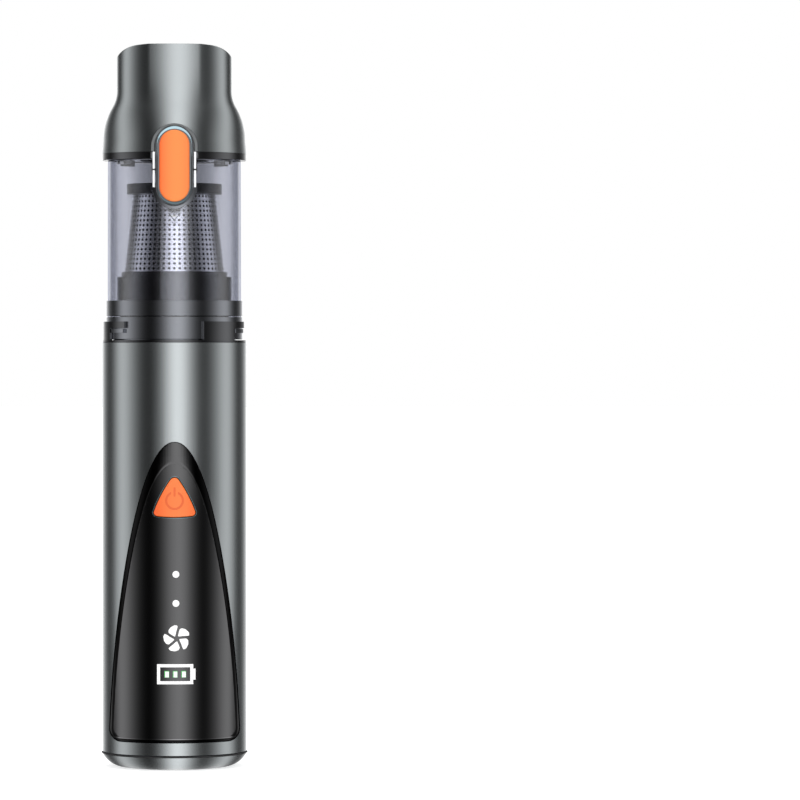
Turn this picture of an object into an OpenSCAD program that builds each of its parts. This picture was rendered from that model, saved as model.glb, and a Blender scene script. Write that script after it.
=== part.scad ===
// Handheld car vacuum cleaner, standing on its tail with the nose up.
// Millimetres, +Z up, controls towards -Y, origin on the axis at the foot.

/* [Body tube] */
// Outer diameter of the body tube
body_d = 66; // [65:0.5:72]
// Length of the body tube between its two seams
body_h = 187.7; // [184:0.1:215]
// Wall of the body tube
body_wall = 2.4; // [2:0.1:2.8]

/* [Base cap] */
// Height of the base cap up to its seam
base_h = 6.1; // [5:0.1:8]
// Width of the rounded edge round the flat foot
edge_w = 10; // [8:0.5:11]
// Wall of the base cap
base_wall = 2.2; // [1.8:0.1:2.6]
// Length of the base cap's spigot inside the body tube
base_spigot_h = 8; // [6:0.5:10]
// Bore of the tail port as a share of the body's diameter
port_share = 0.4; // [0.36:0.01:0.42]
// Depth of the tail port
port_h = 9; // [7:0.5:10]
// Thickness of the ring in the seam
ring_h = 0.8; // [0.5:0.1:1.2]
// How far the seam ring stands proud of the body
ring_proud = 0.5; // [0.2:0.1:0.8]

/* [Control panel] */
// Height of the arched panel
panel_h = 136.7; // [132:0.1:142]
// How far the panel's sides stay inside the body's outline
panel_side = 3; // [2.5:0.1:6]
// Height of the panel's lower edge above the foot
panel_z = 12.8; // [11:0.1:15]
// Radius of the panel's lower corners
panel_corner = 5.5; // [4:0.1:7]
// Thickness of the panel
panel_t = 1.65; // [1.5:0.05:1.9]
// How far the panel stands proud of the body
panel_proud = 0.25; // [0.1:0.05:0.4]
// Width of the raised border round the panel's face
panel_border = 2; // [1.5:0.1:2.5]
// Distance from the panel's apex to the apex of its face
panel_drop = 9; // [6:0.5:11]
// Depth of the face below the border
panel_recess = 0.35; // [0.2:0.05:0.5]
// Width of the ledge in the body tube that carries the panel
panel_ledge = 3; // [2.6:0.1:3.5]

/* [Indicators] */
// Height of the upper dot above the foot
dot_high_z = 89.6; // [88:0.1:91]
// Height of the lower dot above the foot
dot_low_z = 76.4; // [75:0.1:78]
// Height of the fan mark's middle above the foot
fan_mark_z = 60.4; // [59:0.1:62]
// Height of the battery mark's middle above the foot
battery_mark_z = 44.3; // [43:0.1:46]

/* [Power button] */
// Width of the three-cornered button
button_w = 19.2; // [16:0.2:20]
// Height of the button
button_h = 17.8; // [15:0.2:19]
// Height of the button's middle above the foot
button_z = 124.2; // [121:0.1:127]
// How far the button stands proud of the panel
button_proud = 0.6; // [0.3:0.1:1]
// Thickness of the button's flange behind the panel
button_flange = 1.2; // [1:0.1:1.6]
// Travel of the button
button_travel = 0.8; // [0.5:0.1:1]

/* [Electronics] */
// Depth of the circuit board's front below the body's surface
board_in = 8.5; // [8:0.1:9]
// Width of the circuit board
board_w = 28; // [26:0.5:30]
// Thickness of the circuit board
board_t = 1.6; // [1.2:0.1:1.8]
// Distance between the board's left and right posts
post_gap = 22; // [21:0.5:23]
// Radius of the posts
post_r = 2.2; // [2:0.1:2.5]
// Side of the square push switch
switch_w = 6; // [5:0.1:7]
// Height of the push switch
switch_h = 3.4; // [3:0.1:3.6]
// Radius of the switch plunger
plunger_r = 1.7; // [1.4:0.1:2]
// Width of the light guide
guide_w = 18.8; // [18.4:0.2:20]
// Height of the charging socket's middle above the foot
usb_z = 24; // [22:0.5:28]
// Width of the charging socket
usb_w = 8.9; // [8.5:0.1:9.5]
// Height of the charging socket
usb_h = 3.2; // [3:0.1:3.6]
// Length of the charging socket
usb_l = 7.4; // [7:0.1:8]
// Width of the charging board
charge_w = 16; // [15:0.2:17]

/* [Battery and motor] */
// Height of the battery tray above the foot
tray_z = 36; // [35:0.5:40]
// Room between the cells and the edge of their tray
cell_room = 4.05; // [3.6:0.05:5]
// Length of a cell
cell_h = 65; // [60:0.5:68]
// Radius of the motor can
motor_r = 17.5; // [15:0.1:18.5]
// Length of the motor can
motor_h = 36; // [32:0.5:40]
// Length of the motor's end bell
bell_h = 6; // [4:0.5:8]
// Thickness of the motor's damper
damper_t = 2; // [1:0.1:3]
// Radius of the motor shaft
shaft_r = 1.6; // [1.4:0.1:2]

/* [Fan] */
// Room round the impeller inside the body tube
fan_room = 6.8; // [6.5:0.1:9]
// Height of the impeller's blades
blade_h = 9.8; // [8:0.1:10.4]
// Thickness of an impeller blade
blade_t = 0.9; // [0.7:0.1:1.2]
// Number of impeller blades
blades = 9; // [7:1:11]
// Radius of the fan's eye
eye_r = 11.5; // [10:0.1:12.5]
// Height of the fan shroud
shroud_h = 21; // [20.5:0.1:22.5]

/* [Bayonet collar] */
// Thickness of the collar's flange in the seam
flange_t = 0.9; // [0.6:0.1:1.3]
// Depth of the collar's spigot below the body's surface
spigot_in = 4.6; // [4.5:0.05:5]
// Height of the collar's spigot above the flange
spigot_h = 10.5; // [10:0.1:11]
// Height of a hook above the flange
hook_h = 8.5; // [8:0.1:9.5]
// Thickness of a hook's arm
arm_t = 3; // [2.4:0.1:3.4]
// Angle taken by a hook's upright
upright_a = 32; // [26:1:34]
// Angle taken by a hook's arm
arm_a = 20; // [17:1:24]

/* [Dust cup] */
// Depth of the cup below the body's surface
cup_step = 2.4; // [2.2:0.05:2.5]
// Wall of the cup
cup_wall = 2.2; // [2:0.05:2.3]
// Depth of the cup's skirt below the body's surface
skirt_step = 1.8; // [1.7:0.05:1.9]
// Height of the skirt
skirt_h = 17.1; // [16.5:0.1:18]
// Height of the cup above the skirt
cup_h = 64.5; // [63:0.1:71]

/* [Filter] */
// Height of the filter's base ring that sits in the skirt
filter_seat_h = 6; // [5.6:0.1:6.2]
// Depth of the filter's lower ring below the body's surface
lower_ring_in = 6.7; // [6.2:0.1:7.5]
// Height of the lower ring
lower_ring_h = 11.5; // [10:0.1:13]
// Depth of the filter's upper ring below the body's surface
upper_ring_in = 8.6; // [8:0.1:9]
// Height of the upper ring
upper_ring_h = 2.3; // [1.6:0.1:3]
// Depth of the steel cone's foot below the body's surface
cone_foot_in = 9.8; // [9.4:0.1:10.2]
// How far the steel cone draws in towards its top
cone_draw = 4.1; // [2.7:0.1:4.4]
// Height of the steel cone
cone_h = 35.7; // [34:0.1:37]
// Thickness of the steel
cone_t = 0.6; // [0.4:0.1:0.8]
// Rows of holes in the steel cone
hole_rows = 15; // [8:1:15]
// Holes in each row
hole_columns = 60; // [30:2:60]
// Radius of a hole
hole_r = 0.5; // [0.4:0.05:0.6]
// How far the filter cap stands out over the cone's top
filter_cap_out = 2.7; // [1.9:0.1:3.3]
// Height of the filter cap
filter_cap_h = 4.6; // [4:0.1:6]
// Pleats of the filter core
pleats = 36; // [20:2:44]

/* [Nose] */
// Depth of the nose's lower edge below the body's surface
nose_step = 0.4; // [0.1:0.1:0.7]
// How far the nose draws in from its lower edge to its neck
neck_draw = 6.4; // [5.6:0.1:7.1]
// Wall of the nose cone
nose_wall = 2.2; // [1.8:0.1:2.4]
// Height of the black band under the nose cone
band_h = 3; // [2.8:0.1:3.6]
// Height of the straight part of the nose cone
shoulder_h = 5.7; // [5:0.1:8]
// Height of the flare from the shoulder to the neck
flare_h = 23; // [22:0.1:25]
// Radius of the flare's outward curve
flare_r = 30; // [26:0.5:32]
// Height of the neck up to the middle of the mouth
neck_h = 16.5; // [15:0.1:20]
// Slant of the mouth in degrees
mouth_slant = 10.5; // [6:0.5:12]
// Depth of the flat faces below the round neck
facet_in = 2; // [1.4:0.1:2.6]
// Lean of the flat faces in degrees
facet_lean = 3.5; // [2:0.1:4]
// Radius by which the flat faces run out into the flare
facet_blend = 9; // [7:0.5:11]
// Height of the run-out's start below the neck
facet_down = 1.4; // [1:0.1:2]

/* [Inlet] */
// Width of the inlet duct
duct_w = 31.3; // [29:0.1:32]
// Depth of the inlet duct
duct_d = 26; // [24:0.1:27]
// Corner radius of the inlet duct
duct_corner = 8; // [6:0.1:9]
// Wall of the inlet duct
duct_wall = 1.8; // [1.4:0.1:2]
// How deep the duct's face lies in the mouth
duct_recess = 2; // [1.5:0.1:3]
// Depth of the socket above the throat, at the axis
socket_h = 19; // [17:0.1:20]
// Thickness of the inlet flap
flap_t = 1.4; // [1:0.1:1.8]
// Radius of the flap's pin
flap_pin_r = 0.8; // [0.6:0.05:0.9]

/* [Latch and hinge] */
// Width of the latch lever
lever_w = 18.2; // [16:0.1:18.6]
// Length of the latch lever
lever_l = 36.6; // [34:0.1:38]
// Height of the lever's middle above the cup's rim
lever_up = -3; // [-4:0.1:-2]
// How far the lever stands proud of the body
lever_proud = 1.6; // [1.4:0.1:2]
// Height of the lever's pin below the cup's rim
lever_pin_down = 4.8; // [4:0.1:6]
// Radius of the lever's pin
lever_pin_r = 0.8; // [0.6:0.05:0.85]
// Swing of the lever in degrees
lever_swing = 6; // [4:0.5:6.5]
// Width of the orange pad
pad_w = 14.2; // [12:0.1:15]
// Length of the orange pad
pad_l = 33.3; // [30:0.1:34]
// How far the pad stands proud of the lever
pad_proud = 0.4; // [0.2:0.1:0.6]
// Thickness of the cup's ears beside the lever
ear_t = 0.9; // [0.8:0.05:1.2]
// Height of the ears
ear_h = 16; // [14:0.1:17]
// Distance from the body to the nose's hinge axis
hinge_out = 2.2; // [2:0.1:3]
// Radius of the hinge knuckles
knuckle_r = 2.5; // [2.3:0.1:2.7]
// Radius of the hinge pin
hinge_pin_r = 1.2; // [1:0.05:1.3]
// Length of the nose's middle knuckle
knuckle_l = 11.6; // [10:0.2:14]
// Length of each outer knuckle on the cup
cup_knuckle_l = 4.8; // [4:0.2:6]

/* [Fits] */
// Gap between pieces that move past each other
slide_gap = 0.3; // [0.25:0.05:0.4]
// Gap between fixed pieces that slip together
fit_gap = 0.15; // [0.1:0.05:0.2]
// Gap round screws and fixed pins in their holes
pin_gap = 0.06; // [0.05:0.01:0.1]
// Gap round pins that something turns on
turn_gap = 0.08; // [0.05:0.01:0.1]

/* [Hidden] */
$fn = 64;
gunmetal = "#8b9092";
black_plastic = "#1d1e20";
gloss_black = "#0c0c0d";
orange = "#ff7a34";
clear_plastic = [0.72, 0.73, 0.79, 0.35];
steel = "#c9cbd0";
rubber = "#2a2b2d";

over = 1;
join = 0.1;
end_gap = 0.2;
body_r = body_d / 2;
bore_r = body_r - body_wall;
inner_r = bore_r - slide_gap;
foot_r = body_r - edge_w;
port_r = port_share * body_r;
base_screw_pitch = (port_r + base_wall + foot_r) / 2;
z_tube = base_h + ring_h;
z_collar = z_tube + body_h;
z_deck = z_collar + flange_t;

// Base cap: its edge is an arc that leaves the foot tangentially and ends at the seam
base_spigot_r = bore_r - fit_gap;
edge_r = (pow(body_r - foot_r, 2) + pow(base_h, 2)) / (2 * base_h);
z_feet = z_tube + base_spigot_h;
screw_r = 1.3;
screw_head_r = 2.4;
screw_head_h = 1.8;
screw_sunk = 0.6;
small_head_r = 1.9;
small_head_h = 1.4;
boss_r = 2.8;
grille_t = 1.5;
grille_bar = 1.4;
grille_lip = 0.6;
grille_mid = 0.65 * port_r;

// Chassis rails, by their angle from +X
rail_angles = [0, 50, 130, 180];
rail_w = 5;
rail_t = 2.9;
rail_out = inner_r - slide_gap;
rail_in = inner_r - rail_t;
spoke_t = 2.5;
shelf_t = 2;
shelf_in = body_r - 11;

// Control panel
panel_r = body_r + panel_proud;
panel_seat_r = panel_r - panel_t;
panel_top = panel_z + panel_h;
panel_w = body_d - 2 * panel_side;
arch_top = 1.8;
arch_side = 0.55;
arch_steps = 14;
corner_steps = 5;
ledge_drop = panel_drop + panel_ledge;
board_y = body_r - board_in;
post_rise = 13.2;
post_span = 80;
board_foot = 6;
board_head = 9.8;
post_low = panel_z + post_rise;
post_high = post_low + post_span;
board_low = post_low - board_foot;
board_high = button_z + board_head;
board_screw_r = 0.95;
board_screw_l = 3.8;

// Power button
button_r = panel_r + button_proud;
button_back_r = panel_seat_r - fit_gap - button_flange;
button_lip = 1;
apex_r = 2.3;
corner_r = 1.6;
side_bow = 5;
arc_steps = 6;
side_steps = 5;
plunger_in = 1.2;
plunger_bore = plunger_r + 0.2;
switch_floor = 0.6;

// Light guide and its wells
dot_well_r = 1.9;
fan_well_r = 6.4;
battery_well_h = 10.4;
well_wall = 0.9;
guide_end = 3;
guide_low = battery_mark_z - battery_well_h / 2 - guide_end;
guide_high = dot_high_z + dot_well_r + guide_end;

// Charging socket
usb_corner = 1.5;
usb_out = body_r - 0.6;
usb_shell = 0.3;
usb_floor = 1;
usb_slot_gap = 0.5;
tongue_w = 6.6;
tongue_t = 0.7;
usb_back = usb_out - usb_l;
charge_t = 1.2;
charge_h = 14;
clip_w = 2.8;
clip_t = 3.6;
clip_lip = 1.2;

// Battery, three cells in a triangle
tray_floor = 1.5;
pocket_h = 3.5;
cell_gap = 0.4;
pack_y = 3;
nub_r = 2.7;
nub_h = 1;
tray_r = rail_in - slide_gap;
cell_r = (tray_r - pack_y - cell_room - cell_gap / sqrt(3)) / (1 + 2 / sqrt(3));
cell_pitch = (2 * cell_r + cell_gap) / sqrt(3);
tray_hole_r = 5;
tray_hole_out = 2 * cell_pitch - 4;
tray_front = board_y - board_t - small_head_h - slide_gap;
z_cells = tray_z + tray_floor;
z_lid = z_cells + cell_h - pocket_h;

// Fan and motor, hung from the collar
collar_depth = 4.6;
fan_r = inner_r - fan_room;
z_shroud_top = z_collar - collar_depth;
z_fan_floor = z_shroud_top - shroud_h;
bulk_t = 3;
z_bulk = z_fan_floor - bulk_t;
z_motor_top = z_bulk - damper_t;
z_motor = z_motor_top - motor_h;
motor_boss_r = 5;
motor_boss_drop = 0.5;
motor_screw_pitch = 11;
motor_screw_in = 4.5;
bell_step = 1;
bell_floor = 1.5;
terminal_w = 3;
terminal_t = 0.6;
terminal_h = 4;
shroud_wall = 1;
shroud_top_t = 2;
impeller_lift = 3.5;
disc_t = 1.2;
hub_r = 4;
z_blades = z_fan_floor + impeller_lift + disc_t;
z_eye = z_blades + blade_h;
hub_top = z_eye + disc_t;
nut_r = 3.2;
nut_h = 2.4;
blade_root_r = 8;
blade_bend = 0.95;
blade_shift = 0.2;
blade_rise = 0.92;
blade_ends = 0.2;
eye_lip_t = 1.2;
eye_gap = 0.7;
eye_overlap = 0.5;
guard_bar = 1;
guard_mid = 0.6 * eye_r;
vane_gap = 0.8;
vane_turn = 52;
vane_l = 4.6;
vane_t = 1;
slots = 10;
slot_in = fan_r + 1;
slot_out = inner_r - 1.9;
slot_a = 24;

// Bayonet collar
collar_wall = 2.2;
spigot_r = body_r - spigot_in;
collar_bore = spigot_r - 7.9;
collar_ledge_t = 2.5;
collar_ledge_in = spigot_r - 6.4;
collar_screw_pitch = spigot_r - 4.2;
collar_screw_angles = [30, 150, 270];
collar_top_t = 3;
z_spigot = z_deck + spigot_h;
seal_in = spigot_r - 6.7;
seal_out = spigot_r - 3.6;
seal_sunk = 0.8;
hooks = 3;
hook_start = -66;
skirt_r = body_r - skirt_step;
hook_in = skirt_r + slide_gap;
hook_out = body_r - 0.2;
arm_start = hook_start + upright_a;
arm_low = hook_h - arm_t;

// Dust cup
cup_r = body_r - cup_step;
cup_in = cup_r - cup_wall;
skirt_in = spigot_r + slide_gap + 0.2;
z_cup = z_deck + slide_gap + 0.1;
z_step = z_cup + skirt_h;
z_rim = z_step + cup_h;
lug_out = body_r - slide_gap;
lug_ease_a = 1.5;
lug_low = 3;
step_t = 0.6;

// Filter, pushed into the cup from below up to the step
z_filter = z_step - filter_seat_h;
lower_ring_r = body_r - lower_ring_in;
upper_ring_r = body_r - upper_ring_in;
cone_foot_r = body_r - cone_foot_in;
cone_top_r = cone_foot_r - cone_draw;
filter_cap_r = cone_top_r + filter_cap_out;
filter_bore = cone_foot_r - 3.2;
filter_hole_r = 12;
filter_floor = 2;
seal_space = 1.9;
seal_band = 1;
seal_start = 1;
lips = 3;
lip_t = 1.2;
seat_r = skirt_in - seal_space;
z_lower = z_step + lower_ring_h;
z_cone_foot = z_lower + upper_ring_h;
z_cone_top = z_cone_foot + cone_h;
cone_slope = (cone_foot_r - cone_top_r) / cone_h;
cone_margin = 2;
hole_pitch = (cone_h - 2 * cone_margin) / (hole_rows - 1);
strips = hole_columns / 2;
strip_a = 360 / strips;
cap_spigot_h = 3;
cap_edge = 0.4;
core_r = cone_top_r - cone_t - 0.8;
core_in = 11;
core_paper = 1.1;
z_core = z_filter + filter_floor;
core_top = z_cone_top - cap_spigot_h - end_gap;

// Nose
nose_r = body_r - nose_step;
neck_r = nose_r - neck_draw;
facet_y = neck_r - facet_in;
nose_in = nose_r - nose_wall;
z_nose = z_rim + slide_gap;
z_nose_cone = z_nose + band_h;
z_shoulder = z_nose_cone + shoulder_h;
z_neck = z_shoulder + flare_h;
z_mouth = z_neck + neck_h;
flare_step = nose_r - neck_r;
hollow_r = (pow(flare_h, 2) + pow(flare_step, 2)) / (2 * flare_step) - flare_r;
z_facet = z_neck - facet_down;
run_out_flats = 4;
run_out_a = 80;
mouth_reach = neck_r * tan(mouth_slant) + 6;
nose_seal_t = 1.4;
nose_seal_out = cup_r - 0.3;
nose_seal_in = cup_in + 0.2;
lug_drop = 2;
lug_t = 1.7;
lug_a = 20;
lug_out_r = cup_in - slide_gap - 0.2;
lug_angles = [35, 145, 215, 325];

// Inlet duct, throat and flap
z_throat = z_mouth - socket_h;
throat_t = 2;
throat_lip = 2.6;
duct_face_t = 2.5;
flap_gap = 0.5;
flap_knuckle_r = flap_pin_r + 0.7;
flap_pin_y = duct_d / 2 - flap_knuckle_r - flap_gap;
flap_knuckle_l = duct_w - 2 * duct_corner;
z_flap_pin = z_throat - throat_t - flap_gap - flap_knuckle_r;

// Latch
z_lever = z_rim + lever_up;
z_lever_pin = z_rim - lever_pin_down;
lever_top = z_lever + lever_l / 2;
lever_bottom = z_lever - lever_l / 2;
lever_front = body_r + lever_proud;
lever_back = cup_r + slide_gap;
pad_sunk = 1.1;
lever_pin_y = (lever_front - pad_sunk + lever_back) / 2;
lever_relief = lever_swing + 1;
ear_in = lever_w / 2 + slide_gap;
ear_front = lever_pin_y + lever_pin_r + 0.5;
ear_low = z_lever_pin - ear_h / 2;
ear_root = 3;
pocket_w = 2 * (ear_in + ear_t + slide_gap);
pocket_gap = 0.8;
catch_y = nose_in - 1.4;
catch_t = 1.6;
catch_w = 10;
catch_h = 2;
catch_side = 1.5;
catch_top = 2.5;
hook_w = 8;
hook_tip = cup_r;
hook_lip_h = 2;
hook_z = lever_top - 4.2;
catch_z = hook_z - over - catch_h;
relief_z = z_lever_pin - 1;
lever_upper_back = lever_back + 0.7;
spring_w = 4;
spring_t = 0.35;
spring_foot_h = 8;
spring_rise = 5;
spring_z = lever_bottom + 3;
spring_y = cup_r + 0.1;

// Hinge at the back of the nose
hinge_y = body_r + hinge_out;
z_hinge = z_nose;
cup_knuckle_x = knuckle_l / 2 + slide_gap;
web_h = knuckle_r + 2;

// Ring about the axis between two heights
module ring(outer, inner, low, high) {
    rotate_extrude() translate([inner, low]) square([outer - inner, high - low]);
}

// Part of a ring, from one angle over a further angle
module ring_part(outer, inner, low, high, from, turn) {
    rotate([0, 0, from]) rotate_extrude(angle = turn)
        translate([inner, low]) square([outer - inner, high - low]);
}

// Upright cylinder between two heights
module pillar(r, low, high) {
    translate([0, 0, low]) cylinder(r = r, h = high - low);
}

// Bar along X about the middle
module cross_bar(r, y, z, length) {
    translate([0, y, z]) rotate([0, 90, 0]) cylinder(r = r, h = length, center = true);
}

// Rod along Y, from the front position to the back position
module depth_rod(r, x, z, front, back) {
    translate([x, back, z]) rotate([90, 0, 0]) cylinder(r = r, h = back - front);
}

// Carries an outline drawn in X and Z forward from the axis
module forward(depth) {
    rotate([90, 0, 0]) linear_extrude(depth) children();
}

// Rectangle with round corners about the middle
module round_rect(w, h, r) {
    square([w - 2 * r, h], center = true);
    square([w, h - 2 * r], center = true);
    for (x = [-1, 1], y = [-1, 1]) translate([x * (w / 2 - r), y * (h / 2 - r)]) circle(r);
}

// Outline with two round ends, drawn between two heights
module pill(w, low, high) {
    translate([-w / 2, low + w / 2]) square([w, high - low - w]);
    for (z = [low + w / 2, high - w / 2]) translate([0, z]) circle(w / 2);
}

function arch_half(t, h, w) = w / 2 * pow(1 - pow(1 - t / h, arch_top), arch_side);

// Outline of the panel, with its apex let down and its other edges drawn in
module arch(drop, trim) {
    h = panel_h - drop - trim;
    w = panel_w - 2 * trim;
    r = panel_corner - trim / 2;
    side = [for (i = [0 : arch_steps]) let (t = (h - r) * pow(i / arch_steps, 2)) [arch_half(t, h, w), -t]];
    corner = [
        for (i = [1 : corner_steps]) let (a = 90 * i / corner_steps, t = h - r + r * sin(a))
            [arch_half(t, h, w) - r * (1 - cos(a)), -t]
    ];
    right = concat(side, corner);
    left = [for (i = [len(right) - 1 : -1 : 1]) [-right[i][0], right[i][1]]];
    translate([0, panel_top - drop]) polygon(concat(right, left));
}

function turned(a) = [cos(a), sin(a)];
function bowed(from, to, n, t) =
    from + t * (to - from) + 2 * t * (1 - t) * norm(to - from) * tan(side_bow / 2) * turned(n);

// Outline of the power button: three round corners with slightly bowed sides between them
module triangle(grow) {
    top_r = apex_r + grow;
    low_r = corner_r + grow;
    apex = [0, button_h / 2 - apex_r];
    corner = [button_w / 2 - corner_r, corner_r - button_h / 2];
    n = atan2(corner[1] - apex[1], corner[0]) + acos((apex_r - corner_r) / norm(corner - apex));
    from = apex + top_r * turned(n + side_bow);
    to = corner + low_r * turned(n - side_bow);
    foot = corner + low_r * turned(side_bow - 90);
    sweep = n + 90 - 2 * side_bow;
    right = concat(
        [for (i = [0 : arc_steps]) apex + top_r * turned(90 + (n + side_bow - 90) * i / arc_steps)],
        [for (i = [1 : side_steps - 1]) bowed(from, to, n, i / side_steps)],
        [for (i = [0 : arc_steps]) corner + low_r * turned(n - side_bow - sweep * i / arc_steps)],
        [for (i = [1 : side_steps - 1]) bowed(foot, [0, foot[1]] - [foot[0], 0], -90, i / side_steps / 2)]
    );
    left = [for (i = [len(right) - 1 : -1 : 1]) [-right[i][0], right[i][1]]];
    translate([0, button_z]) polygon(concat(right, left));
}

// Body tube with the seat of the panel and the slot of the charging socket
module body_shell() {
    color(gunmetal) difference() {
        ring(body_r, bore_r, z_tube, z_collar);
        difference() {
            forward(body_d) arch(0, 0);
            pillar(panel_seat_r, 0, z_collar);
        }
        forward(body_d) arch(ledge_drop, panel_ledge);
        translate([0, body_d, usb_z]) forward(body_d)
            round_rect(usb_w + 2 * usb_slot_gap, usb_h + 2 * usb_slot_gap, usb_corner + usb_slot_gap);
    }
}

// Section of the base cap's shell on the right of the axis
module base_section() {
    square([foot_r, base_wall]);
    difference() {
        intersection() {
            translate([foot_r, edge_r]) circle(edge_r);
            translate([foot_r, 0]) square([body_r - foot_r, base_h]);
        }
        translate([foot_r, base_wall]) square([base_spigot_r - base_wall - foot_r, base_h]);
    }
    translate([base_spigot_r - base_wall, base_h - over]) square([base_wall, z_feet - base_h + over]);
    square([port_r + base_wall, port_h]);
}

// Base cap with the tail port, screw bosses and the clips of the charging board
module base_cap() {
    color(gunmetal) difference() {
        union() {
            rotate_extrude() base_section();
            for (a = rail_angles) rotate([0, 0, a])
                translate([base_screw_pitch, 0, 0]) pillar(boss_r, 0, z_feet);
            for (x = [-1, 1]) charge_clip(x);
        }
        pillar(port_r, -over, port_h + over);
        for (a = rail_angles) rotate([0, 0, a]) translate([base_screw_pitch, 0, 0]) {
            pillar(screw_r + pin_gap, -over, z_feet + over);
            pillar(screw_head_r + pin_gap, -over, screw_sunk + screw_head_h);
        }
    }
}

// Slotted post that holds one edge of the charging board
module charge_clip(x) {
    edge = charge_w / 2 + fit_gap;
    low = base_wall - over / 2;
    difference() {
        translate([x * (edge - clip_lip + clip_w / 2) - clip_w / 2, usb_back - (charge_t + clip_t) / 2, low])
            cube([clip_w, clip_t, usb_z + charge_h / 2 - low]);
        translate([-edge, usb_back - charge_t - fit_gap, usb_z - charge_h / 2])
            cube([2 * edge, charge_t + 2 * fit_gap, charge_h + over]);
    }
}

// Dark ring in the seam above the base cap
module base_ring() {
    color(rubber) ring(body_r + ring_proud, base_spigot_r + fit_gap, base_h, z_tube);
}

// Grille over the inner end of the tail port
module tail_grille() {
    color(black_plastic) translate([0, 0, port_h]) {
        ring(port_r + base_wall, port_r - grille_lip, 0, grille_t);
        ring(grille_mid + grille_bar / 2, grille_mid - grille_bar / 2, 0, grille_t);
        pillar(2 * grille_bar, 0, grille_t);
        for (a = [0 : 60 : 120]) rotate([0, 0, a])
            translate([-port_r, -grille_bar / 2, 0]) cube([2 * port_r, grille_bar, grille_t]);
    }
}

// Screws that draw the chassis down to the base cap
module base_screws() {
    color(steel) for (a = rail_angles) rotate([0, 0, a]) translate([base_screw_pitch, 0, 0]) {
        pillar(screw_head_r, screw_sunk, screw_sunk + screw_head_h);
        pillar(screw_r, screw_sunk, z_feet + spoke_t - end_gap);
    }
}

// Glossy panel let into the body, with posts for the circuit board
module control_panel() {
    color(gloss_black) difference() {
        union() {
            intersection() {
                ring(panel_r, panel_seat_r, panel_z - over, panel_top + over);
                forward(body_d) arch(fit_gap, fit_gap);
            }
            intersection() {
                pillar(panel_seat_r + panel_t / 2, 0, panel_top);
                for (x = [-1, 1], z = [post_low, post_high])
                    depth_rod(post_r, x * post_gap / 2, z, -body_r, -board_y);
            }
        }
        difference() {
            forward(body_d) arch(panel_drop, panel_border);
            pillar(panel_r - panel_recess, 0, panel_top);
        }
        forward(body_d) triangle(slide_gap);
        for (x = [-1, 1], z = [post_low, post_high]) depth_rod(
            board_screw_r + pin_gap, x * post_gap / 2, z, -board_y - board_screw_l - end_gap, -board_y + over
        );
    }
}

// Light guide between the board and the panel, with a well for each indicator
module light_guide() {
    color("white") difference() {
        intersection() {
            translate([-guide_w / 2, -body_r, guide_low])
                cube([guide_w, body_r - board_y, guide_high - guide_low]);
            pillar(panel_seat_r - fit_gap, guide_low, guide_high);
        }
        forward(body_d) {
            for (z = [dot_low_z, dot_high_z]) translate([0, z]) circle(dot_well_r);
            translate([0, fan_mark_z]) circle(fan_well_r);
            translate([0, battery_mark_z]) square([guide_w - 2 * well_wall, battery_well_h], center = true);
        }
    }
}

// Circuit board on the panel's posts
module circuit_board() {
    color("#1f5a3a") difference() {
        translate([-board_w / 2, -board_y, board_low]) cube([board_w, board_t, board_high - board_low]);
        for (x = [-1, 1], z = [post_low, post_high])
            depth_rod(board_screw_r + pin_gap, x * post_gap / 2, z, -body_r, 0);
    }
}

// Screws that hold the circuit board to the panel's posts
module board_screws() {
    back = board_t - board_y;
    color(steel) for (x = [-1, 1], z = [post_low, post_high]) {
        depth_rod(small_head_r, x * post_gap / 2, z, back, back + small_head_h);
        depth_rod(board_screw_r, x * post_gap / 2, z, -board_y - board_screw_l, back + join);
    }
}

// Push switch behind the power button
module switch_body() {
    color(black_plastic) difference() {
        translate([-switch_w / 2, -board_y - switch_h, button_z - switch_w / 2])
            cube([switch_w, switch_h, switch_w]);
        depth_rod(plunger_bore, 0, button_z, -body_r, -board_y - switch_floor);
    }
}

// Charging socket, open to the back
module usb_socket() {
    color(steel) translate([0, usb_out, usb_z]) {
        difference() {
            forward(usb_l) round_rect(usb_w, usb_h, usb_corner);
            translate([0, over, 0]) forward(usb_l - usb_floor + over)
                round_rect(usb_w - 2 * usb_shell, usb_h - 2 * usb_shell, usb_corner - usb_shell);
        }
        translate([-tongue_w / 2, usb_floor / 2 - usb_l, -tongue_t / 2])
            cube([tongue_w, usb_l - 1.5 * usb_floor, tongue_t]);
    }
}

// Small board that carries the charging socket
module charge_board() {
    color("#1f5a3a") translate([-charge_w / 2, usb_back - charge_t, usb_z - charge_h / 2])
        cube([charge_w, charge_t, charge_h]);
}

// Chassis: four rails from the base cap up to the bulkhead that carries the motor
module chassis() {
    color(black_plastic) difference() {
        union() {
            for (a = rail_angles) rotate([0, 0, a]) chassis_rail();
            pillar(inner_r, z_bulk, z_fan_floor);
            for (i = [0 : slots - 1]) rotate([0, 0, (i + 0.5) * 360 / slots]) stator_vane();
        }
        pillar(motor_boss_r + slide_gap, z_bulk - over, z_fan_floor + over);
        for (i = [0 : slots - 1]) ring_part(
            slot_out, slot_in, z_bulk - over, z_fan_floor + over, i * 360 / slots - slot_a / 2, slot_a
        );
        for (x = [-1, 1]) translate([x * motor_screw_pitch, 0, 0])
            pillar(screw_r + pin_gap, z_bulk - over, z_fan_floor + over);
        for (a = rail_angles) rotate([0, 0, a]) translate([base_screw_pitch, 0, 0])
            pillar(screw_r + pin_gap, z_feet - over, z_feet + spoke_t + over);
    }
}

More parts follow.
